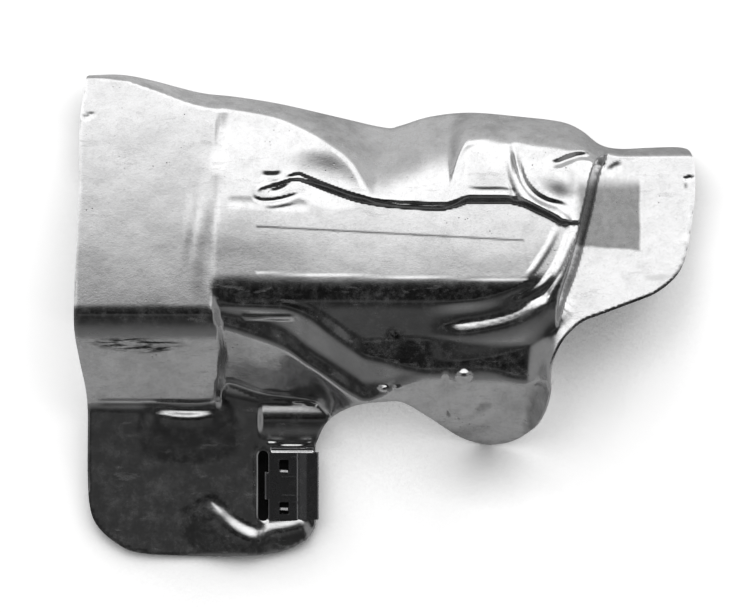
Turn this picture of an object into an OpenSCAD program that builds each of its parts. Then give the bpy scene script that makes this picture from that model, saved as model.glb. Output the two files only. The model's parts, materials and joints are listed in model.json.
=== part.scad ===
// Heat shield for a turbocharger: one stamped sheet, with a spring clip pushed over its tab.
// The sheet lies hollow side down. X runs along its length, Y up its width and Z through its depth.

/* [Overall size] */
// Length of the shield, from its left edge to the end of the scoop
shield_l = 197; // [175:1:225]
// Width of the shield, from the flange's free edge to the top corner
shield_w = 154; // [138:1:176]
// Depth of the pressed form, from its foot to the crown
shield_h = 35; // [30:0.5:42]

/* [Sheet] */
// Thickness of the stamped sheet
sheet_t = 0.8; // [0.6:0.1:1.2]
// Spacing of the points that carry the pressed form
form_pitch = 2.9; // [2.8:0.1:4]

/* [Pressed form] */
// Height of the groove's lip over the label panel
lip_h = 3.2; // [1.5:0.1:4]
// Height of the ribs right of the label panel
rib_h = 1.4; // [0.4:0.1:2.5]
// Height of the cross roll above the clip
roll_h = 2.2; // [0.5:0.1:3]
// Drop from the left plate to the centre
plate_step = 1.4; // [0:0.1:2.5]

/* [Tab] */
// Width of the strip between the slot and the tab's edge
strip_w = 15; // [12:0.5:18]
// Width of the slot
slot_w = 3.4; // [2.8:0.1:5]
// Distance from the flange's free edge to the clip
slot_from_end = 11.8; // [10:0.2:14]

/* [Clip] */
// Length of the clip along the tab's edge
clip_l = 21.4; // [16:0.2:24]
// Thickness of the clip's spring strip
clip_t = 0.6; // [0.4:0.1:0.9]
// Clearance between the clip and the sheet
clip_gap = 0.05; // [0.02:0.01:0.2]
// Distance that the clip's bow stands out past the tab's edge
bow_out = 1; // [0.8:0.1:2]
// Rise of the clip's bow over its flat part
bow_rise = 1.2; // [0.6:0.1:2]
// Reach of the clip's under leg below the strip
under_leg = 11; // [6:0.5:12]
// Length of the hook that drops in the slot
hook_l = 8.6; // [5:0.2:12]
// Depth of the hook below the sheet's upper face
hook_drop = 2; // [1:0.1:2.4]

/* [Hidden] */
$fn = 32;

// The form is drawn 197 by 154 by 35 and stretched to the size asked for.
drawn = [197, 154, 35];
stretch = [shield_l / drawn[0], shield_w / drawn[1], shield_h / drawn[2]];
crown_z = drawn[2];

// The tab's edge is straight beside the clip.
tab_edge_x = 76;
tab_low_y = (slot_from_end - 1.2) / stretch[1];
tab_high_y = (slot_from_end + clip_l + 1.2) / stretch[1];

// Outline, clockwise from the top left corner. The first point is a sharp corner.
outline_drawn = [
    [3.2, 153.6], [13.4, 153.9], [23, 152.3], [39, 148.2], [50.2, 146.9], [64.6, 144.6],
    [83.8, 140.2], [98.2, 137], [112.6, 140.5], [125.4, 141.8], [141.4, 140.5], [154.2, 138.9],
    [160.6, 136.3], [167, 131.5], [173.4, 130.2], [183, 130.6], [193.3, 130.6], [196.2, 128],
    [197, 122.6], [196.8, 113.9], [195.2, 102.7], [193.6, 95.4], [187.8, 86.7], [176.6, 81],
    [160.6, 74.9], [155.8, 70.7], [152.6, 65.9], [150.4, 60.2], [150.1, 53.1], [148.2, 46.1],
    [144.6, 40.3], [138.2, 36.5], [130.2, 35.8], [122.2, 38.1], [112.6, 44.2], [104.6, 49],
    [99.8, 49.6], [90.2, 48.6], [83.8, 46.1], [79.3, 42.4], [tab_edge_x + 0.8, tab_high_y + 3],
    [tab_edge_x, tab_high_y], [tab_edge_x, (tab_low_y + tab_high_y) / 2],
    [tab_edge_x, tab_low_y], [tab_edge_x - 0.1, tab_low_y - 1.4], [74.3, 7.6], [71, 4.4],
    [67.8, 2.9], [62.1, 1], [51.8, 0], [39, 0], [19.8, 1], [11.8, 4.5], [6.1, 9.9], [3.8, 16.3], [3.2, 27.5], [3.2, 49.9],
    [1.3, 62.7], [0, 72.3], [0, 85.1], [0.6, 101.1], [1, 120.3], [1, 136.3], [1.9, 145.9]];

// Top edge of the sheet as a height over X, from which the top wall climbs.
top_edge = [
    [0, 154], [13, 154.2], [23, 152.3], [39, 148.2], [50, 146.9], [65, 144.6], [84, 140.2],
    [98, 137], [113, 140.5], [125, 141.8], [141, 140.5], [154, 138.9], [161, 136.3],
    [167, 131.8], [174, 130.4], [197, 130.6]];
// Steepness of the top wall over X: steep, but shallow in the valley between the bulges.
wall_slope = [
    [0, 3.2], [60, 3], [72, 2.5], [84, 1.8], [96, 1.05], [118, 1.05], [125, 2.1],
    [155, 2.2], [168, 2.9], [197, 2.9]];
// The groove above the label panel, and how far its lip stands up along it.
groove = [
    [64.6, 120.3], [70.4, 121.3], [72.6, 120.6], [80.6, 117.4], [90.2, 114.2], [99.8, 112.6],
    [115.8, 111.7], [120.6, 112.6], [124.8, 113.9], [136.6, 113.9], [141.4, 113], [146.2, 111],
    [153.9, 106.9]];
lip_share = [
    [52, -0.6], [61, -0.4], [73, 0.3], [82, 0.75], [96.6, 0.75], [103, 0.4], [117, 0.4],
    [125.5, 1], [136.6, 1], [139.5, 0.7], [146.2, 1], [153, 0.95], [159, 0.5], [167, 0]];
// Below the crown the centre falls in terraces. Each row is a line where the slope changes, as a
// height over X, then how much steeper the sheet gets below it, and the width of that bend.
terraces = [
    [[[46.1, 81], [154.2, 81]], 0.5, 2],
    [[[46.1, 81], [71, 80.6], [74.2, 80], [81, 76.2], [88.3, 71], [92.2, 68.8], [95.4, 69.5],
      [99.2, 70.5], [112.6, 69.5], [128.6, 68], [154.2, 67]], -0.5, 2],
    [[[46.1, 80.6], [64.6, 80], [73.6, 76.5], [81, 71], [88.3, 65.9], [95.4, 62.7],
      [99.2, 60.2], [112.6, 58.9], [128.6, 59.5], [141.4, 57], [154.2, 56.3]], 0.6, 2],
    [[[46.1, 78.1], [55.7, 76.5], [66.2, 72.6], [73.6, 66.9], [81, 62.1], [88.3, 57.3],
      [92.2, 54.4], [95.4, 55.7], [99.2, 57.6], [112.6, 57.6], [154.2, 55]], -0.6, 2.5]];
// The last of these lines, where the lower face starts, and how steep that face is over X.
face_top = [
    [46.1, 73.6], [55.7, 70.7], [66.2, 66.6], [73.6, 61.1], [81, 56.3], [88.3, 51.8],
    [92.2, 49.9], [95.4, 53.1], [99.2, 57.3], [112.6, 57.3], [154.2, 54.7]];
lower_face_slope = [[58, 1.5], [70, 1.3], [80, 1.3], [100, 1.15]];
// Where the left plate steps down to the centre, as X over Y.
plate_edge = [
    [0, 44.5], [49.9, 45.1], [65.9, 46.7], [81.9, 44.2], [94.7, 43.2], [109.1, 43.8],
    [125.1, 46.1], [154, 46.1]];
// The ridge from which the sheet falls to the scoop, as X over Y.
scoop_edge = [
    [67.5, 153], [81, 150.4], [85.1, 153], [94.7, 156.5], [105.9, 160.3], [115.5, 162.2],
    [123.5, 162.9], [136.3, 161.6]];

// The cross roll lies between the clip and the fold.
roll_y = tab_high_y + 7.8;
// Pressed lines: the points they run along, their half width and their height.
pressed_lines = [
    [[[138.6, 132.8], [139.2, 126.7], [141.4, 118.7], [145, 113.3]], 2.6, -1.6],
    [[[147.8, 112.6], [153, 110.7], [156.2, 107.2], [156.8, 103], [154.9, 97.3],
      [151.7, 90.9], [146.6, 85.1], [136.6, 80.3]], 3.2, rib_h],
    [[[162.6, 124.2], [161.9, 115.5], [160, 105.9], [156.5, 95.4], [153.3, 86.7],
      [149.8, 81]], 3.4, rib_h],
    [[[111, 76.8], [125.4, 77.8], [138.2, 81], [147.8, 86.4], [151.4, 90.2]], 4.2, -1.4],
    [[[111, 70.1], [125.4, 70.7], [139.8, 73.9], [150.4, 80], [154.2, 85.1]], 4.6, 1.6],
    [[[41.3, 129.9], [41, 113.9], [40, 99.5], [40, 88.3]], 3.6, 0.5],
    [[[44.2, 48.6], [46.7, 54.1], [49.3, 55.4], [58.2, 52.2], [67.8, 50.9], [80.6, 49.3]],
      2.6, -0.8],
    [[[62, roll_y], [79, roll_y]], 5, roll_h]];

function blend_low(a, b, k) = min(a, b) - pow(max(k - abs(a - b), 0), 2) / (4 * k);
function blend_high(a, b, k) = max(a, b) + pow(max(k - abs(a - b), 0), 2) / (4 * k);
function ease(from, to, x) =
    let (t = max(0, min(1, (x - from) / (to - from)))) t * t * (3 - 2 * t);

// Distance from a point to a piece of line, and the nearest point on it.
function foot(p, a, b) =
    let (d = b - a, t = max(0, min(1, ((p - a) * d) / (d * d)))) a + t * d;
function line_gap(p, line) =
    min([for (i = [0 : len(line) - 2]) norm(p - foot(p, line[i], line[i + 1]))]);
function pressed(p, row) =
    let (g = line_gap(p, row[0]) / row[1]) g >= 1 ? 0 : row[2] * pow(1 - g * g, 2);
function all_pressed(p) =
    [for (row = pressed_lines) pressed(p, row)] * [for (row = pressed_lines) 1];

// Widths of the round bends where two faces meet.
groove_bend = 1.2;
wall_bend = 2.5;
plate_bend = 3;
foot_bend = 4;
crown_bend = 6;
cap_bend = 0.6;

// The flange is one plane under the tab. Left of the fold beside the tab it leans up a little.
flange_low = 1.2;
flange_slope = 0.09;
flange_lean = 0.02;
flange_fold_x = 44.5;
function flange_z(x, y) =
    flange_low + flange_slope * y + flange_lean * max(flange_fold_x - x, 0);

// The wall climbs from the sheet's top edge.
wall_foot = 2.9;
function wall_z(x, y) = wall_foot + lookup(x, wall_slope) * (lookup(x, top_edge) - y);

// The left plate falls gently from the crown to the wall, and its lower face to the flange.
crown_y = 78.3;
plate_slope = 0.27;
plate_bow = 0.0007;
left_face_y = 73.4;
left_face_slope = 1.12;
function left_z(x, y) =
    let (plate = crown_z - plate_slope * (y - crown_y) - plate_bow * pow(max(y - crown_y, 0), 2),
         face = crown_z - left_face_slope * (left_face_y - y),
         lower = blend_high(face, flange_z(x, y), foot_bend))
    blend_low(blend_low(plate, wall_z(x, y), plate_bend),
              blend_low(crown_z, lower, crown_bend), cap_bend);

// The label panel, and above it the groove's lip and the ground that the bulges stand on.
centre_z = crown_z - plate_step;
panel_low_y = 84.5;
panel_high_y = 111.5;
panel_slope = 0.275;
panel_gain = 0.03;
panel_gain_from_x = 48;
panel_gain_to_x = 100;
panel_bow = 0.0006;
ground_slope = 0.4;
riser_slope = 1.9;
riser_foot = 1;
function panel_z(x, y) =
    let (up = y - panel_low_y,
         slope = panel_slope + panel_gain * ease(panel_gain_from_x, panel_gain_to_x, x))
    centre_z - slope * up - panel_bow * pow(max(up, 0), 2);
function above_panel_z(x, y) =
    let (groove_y = lookup(x, groove),
         lip = panel_z(x, groove_y) + lip_h * lookup(x, lip_share)
             - ground_slope * (y - groove_y),
         riser = panel_z(x, y) + riser_slope * (y - groove_y + riser_foot),
         ground = panel_z(x, panel_high_y) - ground_slope * (y - panel_high_y))
    blend_high(blend_low(panel_z(x, y), ground, groove_bend),
               blend_low(lip, riser, groove_bend), groove_bend);

// The terraces below the crown, and the tab at their foot, which falls away to its right.
centre_cap = 0.4;
tab_head_y = 70;
tab_turn_x = 80;
tab_fall = 1.2;
no_tab_z = -9;
function fall_below(x, y, line, slope, bend) =
    slope * blend_high(lookup(x, line) - y, 0, bend);
function centre_low_z(x, y) =
    let (falls = [for (row = terraces) fall_below(x, y, row[0], row[1], row[2])],
         last_fall = fall_below(x, y, face_top, lookup(x, lower_face_slope), foot_bend),
         slab = centre_z - centre_cap - falls * [for (row = terraces) 1] - last_fall,
         tab = y < tab_head_y ? flange_z(x, y) - tab_fall * max(x - tab_turn_x, 0) : no_tab_z)
    blend_high(slab, tab, plate_bend);
function centre_form_z(x, y) =
    let (upper_side = blend_low(above_panel_z(x, y), wall_z(x, y), wall_bend))
    blend_low(blend_low(upper_side, centre_z - centre_cap, cap_bend),
              centre_low_z(x, y), plate_bend);

// The scoop at the right, and the slope that falls to it from the centre.
scoop_top_y = 127.7;
scoop_top_z = 9.6;
scoop_slope = 0.38;
fall_top_z = 32;
fall_slope = 1.9;
fall_drop = 0.16;
fall_drop_y = 90;
scoop_from_x = 142;
scoop_full_x = 155;
function scoop_z(x, y) =
    blend_low(scoop_top_z + scoop_slope * (scoop_top_y - y), wall_z(x, y), wall_bend);
function fall_z(x, y) =
    fall_top_z - fall_slope * (x - lookup(y, scoop_edge)) - fall_drop * max(y - fall_drop_y, 0);
function right_z(x, y) =
    let (share = ease(scoop_from_x, scoop_full_x, x), centre = centre_form_z(x, y))
    share == 0 ? centre : (1 - share) * centre
        + share * blend_high(blend_low(centre, fall_z(x, y), wall_bend), scoop_z(x, y), wall_bend);

// The whole form: the left plate, a step across step_half to each side, and the rest.
step_half = 1.6;
function drawn_z(x, y) =
    let (share = ease(-step_half, step_half, x - lookup(y, plate_edge)))
    (share == 1 ? 0 : (1 - share) * left_z(x, y))
        + (share == 0 ? 0 : share * right_z(x, y)) + all_pressed([x, y]);

// The clip's seat is the flange's own plane, clear of every pressed line around it.
seat_edge_x = tab_edge_x * stretch[0];
seat_reach = 1.5 * form_pitch;
seat_fade = 4.5;
function seat_share(p) =
    let (left = seat_edge_x - strip_w - slot_w - p[0],
         below = slot_from_end - p[1],
         above = p[1] - slot_from_end - clip_l,
         gap = norm([max(left, 0), max(below, above, 0)]))
    1 - ease(seat_reach, seat_reach + seat_fade, gap);
function seat_plane_z(y) = stretch[2] * flange_z(flange_fold_x, y / stretch[1]);
function skin_z(p) =
    let (share = seat_share(p))
    (share == 0 ? 0 : share * seat_plane_z(p[1])) + (share == 1 ? 0 :
        (1 - share) * stretch[2] * drawn_z(p[0] / stretch[0], p[1] / stretch[1]));
// Depth of the sheet measured straight down, so that its thickness holds on a slope.
slope_reach = 0.4;
steepest_drop = 3;
function sheet_drop(p) =
    let (z = skin_z(p),
         dx = (skin_z(p + [slope_reach, 0]) - z) / slope_reach,
         dy = (skin_z(p + [0, slope_reach]) - z) / slope_reach)
    sheet_t * min(sqrt(1 + dx * dx + dy * dy), steepest_drop);

// A smooth closed curve through the outline's points, with the first kept sharp.
outline_steps = 2;
function curve_point(a, b, c, d, t) =
    0.5 * (2 * b + (c - a) * t + (2 * a - 5 * b + 4 * c - d) * t * t
           + (3 * b - a - 3 * c + d) * t * t * t);
outline = [
    let (n = len(outline_drawn))
    for (i = [0 : n - 1], s = [0 : outline_steps - 1])
        let (b = outline_drawn[i],
             c = outline_drawn[(i + 1) % n],
             a = i == 0 ? b : outline_drawn[i - 1],
             d = i == n - 1 ? c : outline_drawn[(i + 2) % n],
             q = curve_point(a, b, c, d, s / outline_steps))
        [q[0] * stretch[0], q[1] * stretch[1]]];
function is_inside(p, loop) =
    let (n = len(loop),
         crossings = [for (i = [0 : n - 1])
             let (a = loop[i], b = loop[(i + 1) % n])
             if ((a[1] > p[1]) != (b[1] > p[1])
                 && p[0] < (b[0] - a[0]) * (p[1] - a[1]) / (b[1] - a[1]) + a[0]) 1])
    len(crossings) % 2 == 1;
function nearest_on(p, loop) =
    let (n = len(loop),
         feet = [for (i = [0 : n - 1]) foot(p, loop[i], loop[(i + 1) % n])],
         gaps = [for (f = feet) norm(p - f)])
    feet[search(min(gaps), gaps)[0]];

// Grid of points over the outline. A point near the edge moves onto it, one outside is dropped.
cols = ceil(shield_l / form_pitch) + 2;
rows = ceil(shield_w / form_pitch) + 2;
function grid_point(i, j) =
    let (p = [(i - 0.6) * form_pitch, (j - 0.6) * form_pitch],
         f = nearest_on(p, outline),
         gap = norm(p - f) * (is_inside(p, outline) ? -1 : 1))
    gap >= form_pitch / 2 ? undef : gap >= -form_pitch / 2 ? f : p;

points = [for (i = [0 : cols], j = [0 : rows]) grid_point(i, j)];
count = (cols + 1) * (rows + 1);
upper = [for (p = points) is_undef(p) ? [0, 0, shield_h] : [p[0], p[1], skin_z(p)]];
lower = [for (k = [0 : count - 1])
    let (p = points[k]) upper[k] - [0, 0, is_undef(p) ? 0 : sheet_drop(p)]];
rest_z = min([for (q = lower) q[2]]);

// Cells of the grid: four corners each, filled where at least three of them are kept.
function at(i, j) = i * (rows + 1) + j;
function kept(k) = is_undef(points[k]) ? 0 : 1;
function corners(i, j) = [at(i, j), at(i, j + 1), at(i + 1, j + 1), at(i + 1, j)];
function kept_corners(i, j) = [for (k = corners(i, j)) kept(k)] * [1, 1, 1, 1];
function is_cell(i, j) = i >= 0 && j >= 0 && i < cols && j < rows;
function is_filled(i, j) = is_cell(i, j) && kept_corners(i, j) >= 3;

// A full cell is split along its flatter diagonal, and a cell of three corners is one triangle.
function cell_faces(c) =
    let (used = [for (k = c) if (kept(k) == 1) k],
         first_rise = abs(upper[c[0]][2] - upper[c[2]][2]),
         other_rise = abs(upper[c[1]][2] - upper[c[3]][2]))
    len(used) == 3 ? [used]
        : first_rise <= other_rise ? [[c[0], c[1], c[2]], [c[0], c[2], c[3]]]
        : [[c[0], c[1], c[3]], [c[1], c[2], c[3]]];
// The sides of a cell that lie on the sheet's edge.
neighbours = [[-1, 0], [0, 1], [1, 0], [0, -1]];
function cell_edges(i, j) =
    let (c = corners(i, j))
    [for (k = [0 : 3])
        let (a = c[k], b = c[(k + 1) % 4], n = neighbours[k])
        each kept(a) == 0 ? [[c[(k + 3) % 4], b]]
            : kept(b) == 1 && !is_filled(i + n[0], j + n[1]) ? [[a, b]]
            : []];

// The pressed sheet as one closed solid: its upper skin, its lower skin and the edge between.
module pressed_sheet() {
    cells = [for (i = [0 : cols - 1], j = [0 : rows - 1]) if (is_filled(i, j)) [i, j]];
    skin = [for (c = cells) each cell_faces(corners(c[0], c[1]))];
    edges = [for (c = cells) each cell_edges(c[0], c[1])];
    polyhedron(
        points = concat(upper, lower),
        faces = concat(
            skin,
            [for (f = skin) [f[2] + count, f[1] + count, f[0] + count]],
            [for (e = edges) each [[e[1], e[0], e[0] + count],
                                   [e[1], e[0] + count, e[1] + count]]]),
        convexity = 12);
}

// The clip sits at the tab's edge, tilted with the flange.
slot_x = seat_edge_x - strip_w - slot_w;
clip_mid_y = slot_from_end + clip_l / 2;
seat_tilt = atan(flange_slope * stretch[2] / stretch[1]);
seat_z = seat_plane_z(clip_mid_y);
slot_end_gap = 0.6;
slot_l = clip_l + 2 * slot_end_gap;

// The origin is under the middle of the outline, on the surface that the sheet lies on.
outline_xs = [for (q = outline) q[0]];
outline_ys = [for (q = outline) q[1]];
origin_x = (min(outline_xs) + max(outline_xs)) / 2;
origin_y = (min(outline_ys) + max(outline_ys)) / 2;

module in_frame() { translate([-origin_x, -origin_y, -rest_z]) children(); }
module on_seat() {
    translate([seat_edge_x, clip_mid_y, seat_z]) rotate([seat_tilt, 0, 0]) children();
}

module slot_cut() {
    depth = 12;
    run = slot_l - slot_w;
    translate([slot_x + slot_w / 2, clip_mid_y, seat_z - depth / 2]) {
        translate([-slot_w / 2, -run / 2, 0]) cube([slot_w, run, depth]);
        for (side = [-1, 1]) translate([0, side * run / 2, 0]) cylinder(d = slot_w, h = depth);
    }
}

module heat_shield() {
    color("silver") in_frame() difference() {
        pressed_sheet();
        slot_cut();
    }
}

// The clip in its own frame: X = 0 at the tab's edge, Z = 0 on the sheet's upper face.
upper_leg_z = clip_gap;
under_leg_z = -sheet_t - clip_gap - clip_t;
leg_end_x = -strip_w + 0.2;
bow_start_x = -5.5;
bow_top_x = -2.4;
inner_bend = 0.3;
outer_bend = inner_bend + (2 - sqrt(2)) * clip_t;
ramp_shift = 0.2;

// Section of the clip's strip, first along its inner face and then back along its outer face.
function clip_section() =
    let (inner_x = bow_out - clip_t,
         bow_z = upper_leg_z + bow_rise,
         floor_z = under_leg_z + clip_t)
    [[leg_end_x, upper_leg_z], [bow_start_x, upper_leg_z], [bow_top_x, bow_z],
     [inner_x - inner_bend, bow_z], [inner_x, bow_z - inner_bend],
     [inner_x, floor_z + inner_bend], [inner_x - inner_bend, floor_z],
     [-under_leg, floor_z], [-under_leg, under_leg_z],
     [bow_out - outer_bend, under_leg_z], [bow_out, under_leg_z + outer_bend],
     [bow_out, bow_z + clip_t - outer_bend], [bow_out - outer_bend, bow_z + clip_t],
     [bow_top_x - ramp_shift, bow_z + clip_t],
     [bow_start_x - ramp_shift, upper_leg_z + clip_t], [leg_end_x, upper_leg_z + clip_t]];

module clip_strip() {
    rotate([90, 0, 0]) linear_extrude(height = clip_l, center = true) polygon(clip_section());
}

// The hook: the middle of the leg's end, bent down through the slot.
hook_reach = 0.8;
module clip_hook() {
    hook_x = leg_end_x - hook_reach;
    translate([hook_x, -hook_l / 2, upper_leg_z]) cube([hook_reach, hook_l, clip_t]);
    translate([hook_x - clip_t, -hook_l / 2, -hook_drop])
        cube([clip_t, hook_l, hook_drop + upper_leg_z + clip_t]);
}

// Two windows in the clip's upper leg, each with a tongue left at its lower end.
window_x = -11.6;
window_w = 3.2;
window_rows = [[0.19, 0.21], [-0.4, 0.17]];
tongue_share = 0.4;
module each_window(share, z, h) {
    for (row = window_rows)
        translate([window_x, row[0] * clip_l, z]) cube([window_w, row[1] * clip_l * share, h]);
}

module spring_clip() {
    color("dimgray") in_frame() on_seat() {
        difference() {
            union() {
                clip_strip();
                clip_hook();
            }
            each_window(1, 0, upper_leg_z + 2 * clip_t);
        }
        each_window(tongue_share, upper_leg_z, clip_t);
    }
}

heat_shield();
spring_clip();
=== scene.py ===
"""Looks of a turbocharger heat shield: one bright stamped sheet with a dark spring clip on its tab.

The pressed form is worked out in millimetres on a drawing whose corner is the lower left of the
sheet's outline, with X along its length, Y up its width and Z through its depth. Every mesh is then
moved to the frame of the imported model, in metres.
"""

from __future__ import annotations

import json
import logging
import math
from collections.abc import Mapping, Sequence
from dataclasses import dataclass
from enum import Enum
from typing import Protocol, Union

import bpy
import numpy as np
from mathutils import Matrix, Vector


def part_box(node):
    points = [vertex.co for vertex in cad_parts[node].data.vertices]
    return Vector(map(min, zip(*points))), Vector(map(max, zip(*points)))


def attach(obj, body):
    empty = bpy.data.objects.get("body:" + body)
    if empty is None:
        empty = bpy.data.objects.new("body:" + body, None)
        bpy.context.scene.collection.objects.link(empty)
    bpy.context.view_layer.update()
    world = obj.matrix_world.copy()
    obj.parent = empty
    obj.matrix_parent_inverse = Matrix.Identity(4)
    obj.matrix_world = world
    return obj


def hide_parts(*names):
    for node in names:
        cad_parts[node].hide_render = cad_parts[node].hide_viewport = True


LOG = logging.getLogger("heat_shield")
MM = 0.001

Array = np.ndarray
Point = tuple[float, float]
Curve = tuple[Point, ...]
Colour = tuple[float, float, float, float]

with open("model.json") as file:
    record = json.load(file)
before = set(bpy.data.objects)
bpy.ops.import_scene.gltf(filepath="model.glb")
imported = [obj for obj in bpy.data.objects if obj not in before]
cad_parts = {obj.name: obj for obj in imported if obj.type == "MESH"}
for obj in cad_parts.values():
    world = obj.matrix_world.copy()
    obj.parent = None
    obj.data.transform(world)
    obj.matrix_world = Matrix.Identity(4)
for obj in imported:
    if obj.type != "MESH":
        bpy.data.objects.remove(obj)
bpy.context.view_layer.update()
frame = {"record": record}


def blend_low(a: Array, b: Array, width: float) -> Array:
    """Take the lower of two heights, with a round bend where they meet.

    Args:
        a: First height.
        b: Second height.
        width: Difference of height within which the bend is round.

    Returns:
        The blended height.
    """
    return np.minimum(a, b) - np.maximum(width - np.abs(a - b), 0) ** 2 / (4 * width)


def blend_high(a: Array, b: Array, width: float) -> Array:
    """Take the higher of two heights, with a round bend where they meet."""
    return -blend_low(-a, -b, width)


def ease(start: float, end: float, x: Array) -> Array:
    """Rise smoothly from 0 at start to 1 at end."""
    t = np.clip((x - start) / (end - start), 0, 1)
    return t * t * (3 - 2 * t)


def read_curve(x: Array, curve: Curve) -> Array:
    """Read a smooth curve that never overshoots the points it goes through.

    Args:
        x: Places at which to read it.
        curve: Its points, in order of their first number.

    Returns:
        The curve's height at each place.
    """
    xs, ys = np.array(curve, float).T
    run = np.diff(xs)
    slope = np.diff(ys) / run
    tangent = np.zeros(len(xs))
    tangent[0], tangent[-1] = slope[0], slope[-1]
    before = 2 * run[1:] + run[:-1]
    after = run[1:] + 2 * run[:-1]
    with np.errstate(divide="ignore", invalid="ignore"):
        middle = (before + after) / (before / slope[:-1] + after / slope[1:])
    tangent[1:-1] = np.where(slope[:-1] * slope[1:] > 0, middle, 0)
    x = np.clip(x, xs[0], xs[-1])
    i = np.clip(np.searchsorted(xs, x, "right") - 1, 0, len(xs) - 2)
    t = (x - xs[i]) / run[i]
    start_share = 2 * t**3 - 3 * t**2 + 1
    start_pull = (t**3 - 2 * t**2 + t) * run[i] * tangent[i]
    end_pull = (t**3 - t**2) * run[i] * tangent[i + 1]
    return start_share * ys[i] + start_pull + (1 - start_share) * ys[i + 1] + end_pull


def smooth_path(points: Curve, steps: int, closed: bool = False, sharp: tuple[int, ...] = ()) -> Array:
    """Run a smooth path through given points.

    Args:
        points: The points, in order.
        steps: Pieces between two points.
        closed: Whether the last point joins the first.
        sharp: Numbers of the points that stay corners.

    Returns:
        The path's points, one in each row.
    """
    knots = np.array(points, float)
    count = len(knots)
    path = []
    for i in range(count if closed else count - 1):
        b, c = knots[i], knots[(i + 1) % count]
        a = knots[i - 1] if (closed or i > 0) and i not in sharp else b
        d = knots[(i + 2) % count] if (closed or i + 2 < count) and (i + 1) % count not in sharp else c
        for step in range(steps):
            t = step / steps
            bend = (2 * a - 5 * b + 4 * c - d) * t**2 + (3 * b - a - 3 * c + d) * t**3
            path.append(0.5 * (2 * b + (c - a) * t + bend))
    if not closed:
        path.append(knots[-1])
    return np.array(path)


def path_gap(x: Array, y: Array, path: Array) -> tuple[Array, Array, Array, Array]:
    """Measure how far points lie from an open path.

    Args:
        x: First coordinates of the points.
        y: Second coordinates of the points.
        path: The path's points.

    Returns:
        The gap, positive to the left of travel, the share of the way along the path, and the two
        coordinates of the nearest point on it.
    """
    lengths = np.hypot(*np.diff(path, axis=0).T)
    starts = np.concatenate([[0], np.cumsum(lengths)])
    best = np.full(x.shape, np.inf)
    signed, along, near_x, near_y = (np.zeros(x.shape) for _ in range(4))
    for k, (a, b) in enumerate(zip(path[:-1], path[1:])):
        dx, dy = b - a
        t = np.clip(((x - a[0]) * dx + (y - a[1]) * dy) / max(dx * dx + dy * dy, 1e-12), 0, 1)
        foot_x, foot_y = a[0] + t * dx, a[1] + t * dy
        gap = np.hypot(x - foot_x, y - foot_y)
        near = gap < best
        side = np.where(dx * (y - a[1]) - dy * (x - a[0]) >= 0, 1.0, -1.0)
        best[near] = gap[near]
        signed[near] = (side * gap)[near]
        along[near] = ((starts[k] + t * lengths[k]) / starts[-1])[near]
        near_x[near] = foot_x[near]
        near_y[near] = foot_y[near]
    return signed, along, near_x, near_y


def is_inside(x: Array, y: Array, loop: Array) -> Array:
    """Tell which points lie inside a closed loop, by counting the sides to their right.

    Args:
        x: First coordinates of the points, on the drawing.
        y: Second coordinates of the points, on the drawing.
        loop: The loop's corners, one in each row.

    Returns:
        Whether each point lies inside.
    """
    inside = np.zeros(x.shape, bool)
    for a, b in zip(loop, np.roll(loop, -1, axis=0)):
        if a[1] != b[1]:
            crossing_x = a[0] + (b[0] - a[0]) * (y - a[1]) / (b[1] - a[1])
            inside ^= ((a[1] > y) != (b[1] > y)) & (x < crossing_x)
    return inside


class Feature(Protocol):
    """Something pressed into the sheet, which adds its own height to the form."""

    def heights(self, x: Array, y: Array) -> Array:
        """Give the height that it adds at each point."""
        ...


@dataclass(frozen=True)
class PressedLine:
    """A bead or groove along a smooth line, which fades out at both ends."""

    points: Curve
    half_width: float
    height: float
    fade: float = 0.1
    right_width: float = 0.0
    steps: int = 4

    def heights(self, x: Array, y: Array) -> Array:
        """Give the height that the line adds at each point.

        Args:
            x: First coordinates of the points, on the drawing.
            y: Second coordinates of the points, on the drawing.

        Returns:
            The added height at each point.
        """
        left = self.half_width
        right = self.right_width or left
        reach = max(left, right)
        path = smooth_path(self.points, self.steps)
        low, high = path.min(0) - reach, path.max(0) + reach
        near = (x > low[0]) & (x < high[0]) & (y > low[1]) & (y < high[1])
        gap, along, _, _ = path_gap(x[near], y[near], path)
        share = np.minimum(np.abs(gap) / np.where(gap > 0, left, right), 1)
        ends = ease(0, self.fade, along) * ease(0, self.fade, 1 - along) if self.fade else 1.0
        z = np.zeros(x.shape)
        z[near] = self.height * (1 - share**2) ** 2 * ends
        return z


@dataclass(frozen=True)
class Dent:
    """A soft oval rise or hollow."""

    centre: Point
    radii: Point
    height: float
    angle: float = 0.0

    def heights(self, x: Array, y: Array) -> Array:
        """Give the height that the dent adds at each point.

        Args:
            x: First coordinates of the points, on the drawing.
            y: Second coordinates of the points, on the drawing.

        Returns:
            The added height at each point.
        """
        turn = math.radians(self.angle)
        u, v = x - self.centre[0], y - self.centre[1]
        along = (u * math.cos(turn) + v * math.sin(turn)) / self.radii[0]
        across = (v * math.cos(turn) - u * math.sin(turn)) / self.radii[1]
        return self.height * (1 - np.minimum(np.hypot(along, across), 1) ** 2) ** 2


@dataclass(frozen=True)
class Roll:
    """A roll across a strip, cut off square at both ends."""

    span: Point
    y: float
    half_width: float
    height: float
    edge: float = 0.5

    def heights(self, x: Array, y: Array) -> Array:
        """Give the height that the roll adds at each point.

        Args:
            x: First coordinates of the points, on the drawing.
            y: Second coordinates of the points, on the drawing.

        Returns:
            The added height at each point.
        """
        share = np.minimum(np.abs(y - self.y) / self.half_width, 1)
        left_end = ease(-self.edge, self.edge, x - self.span[0])
        right_end = ease(-self.edge, self.edge, self.span[1] - x)
        return self.height * (1 - share**2) ** 2 * left_end * right_end


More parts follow.
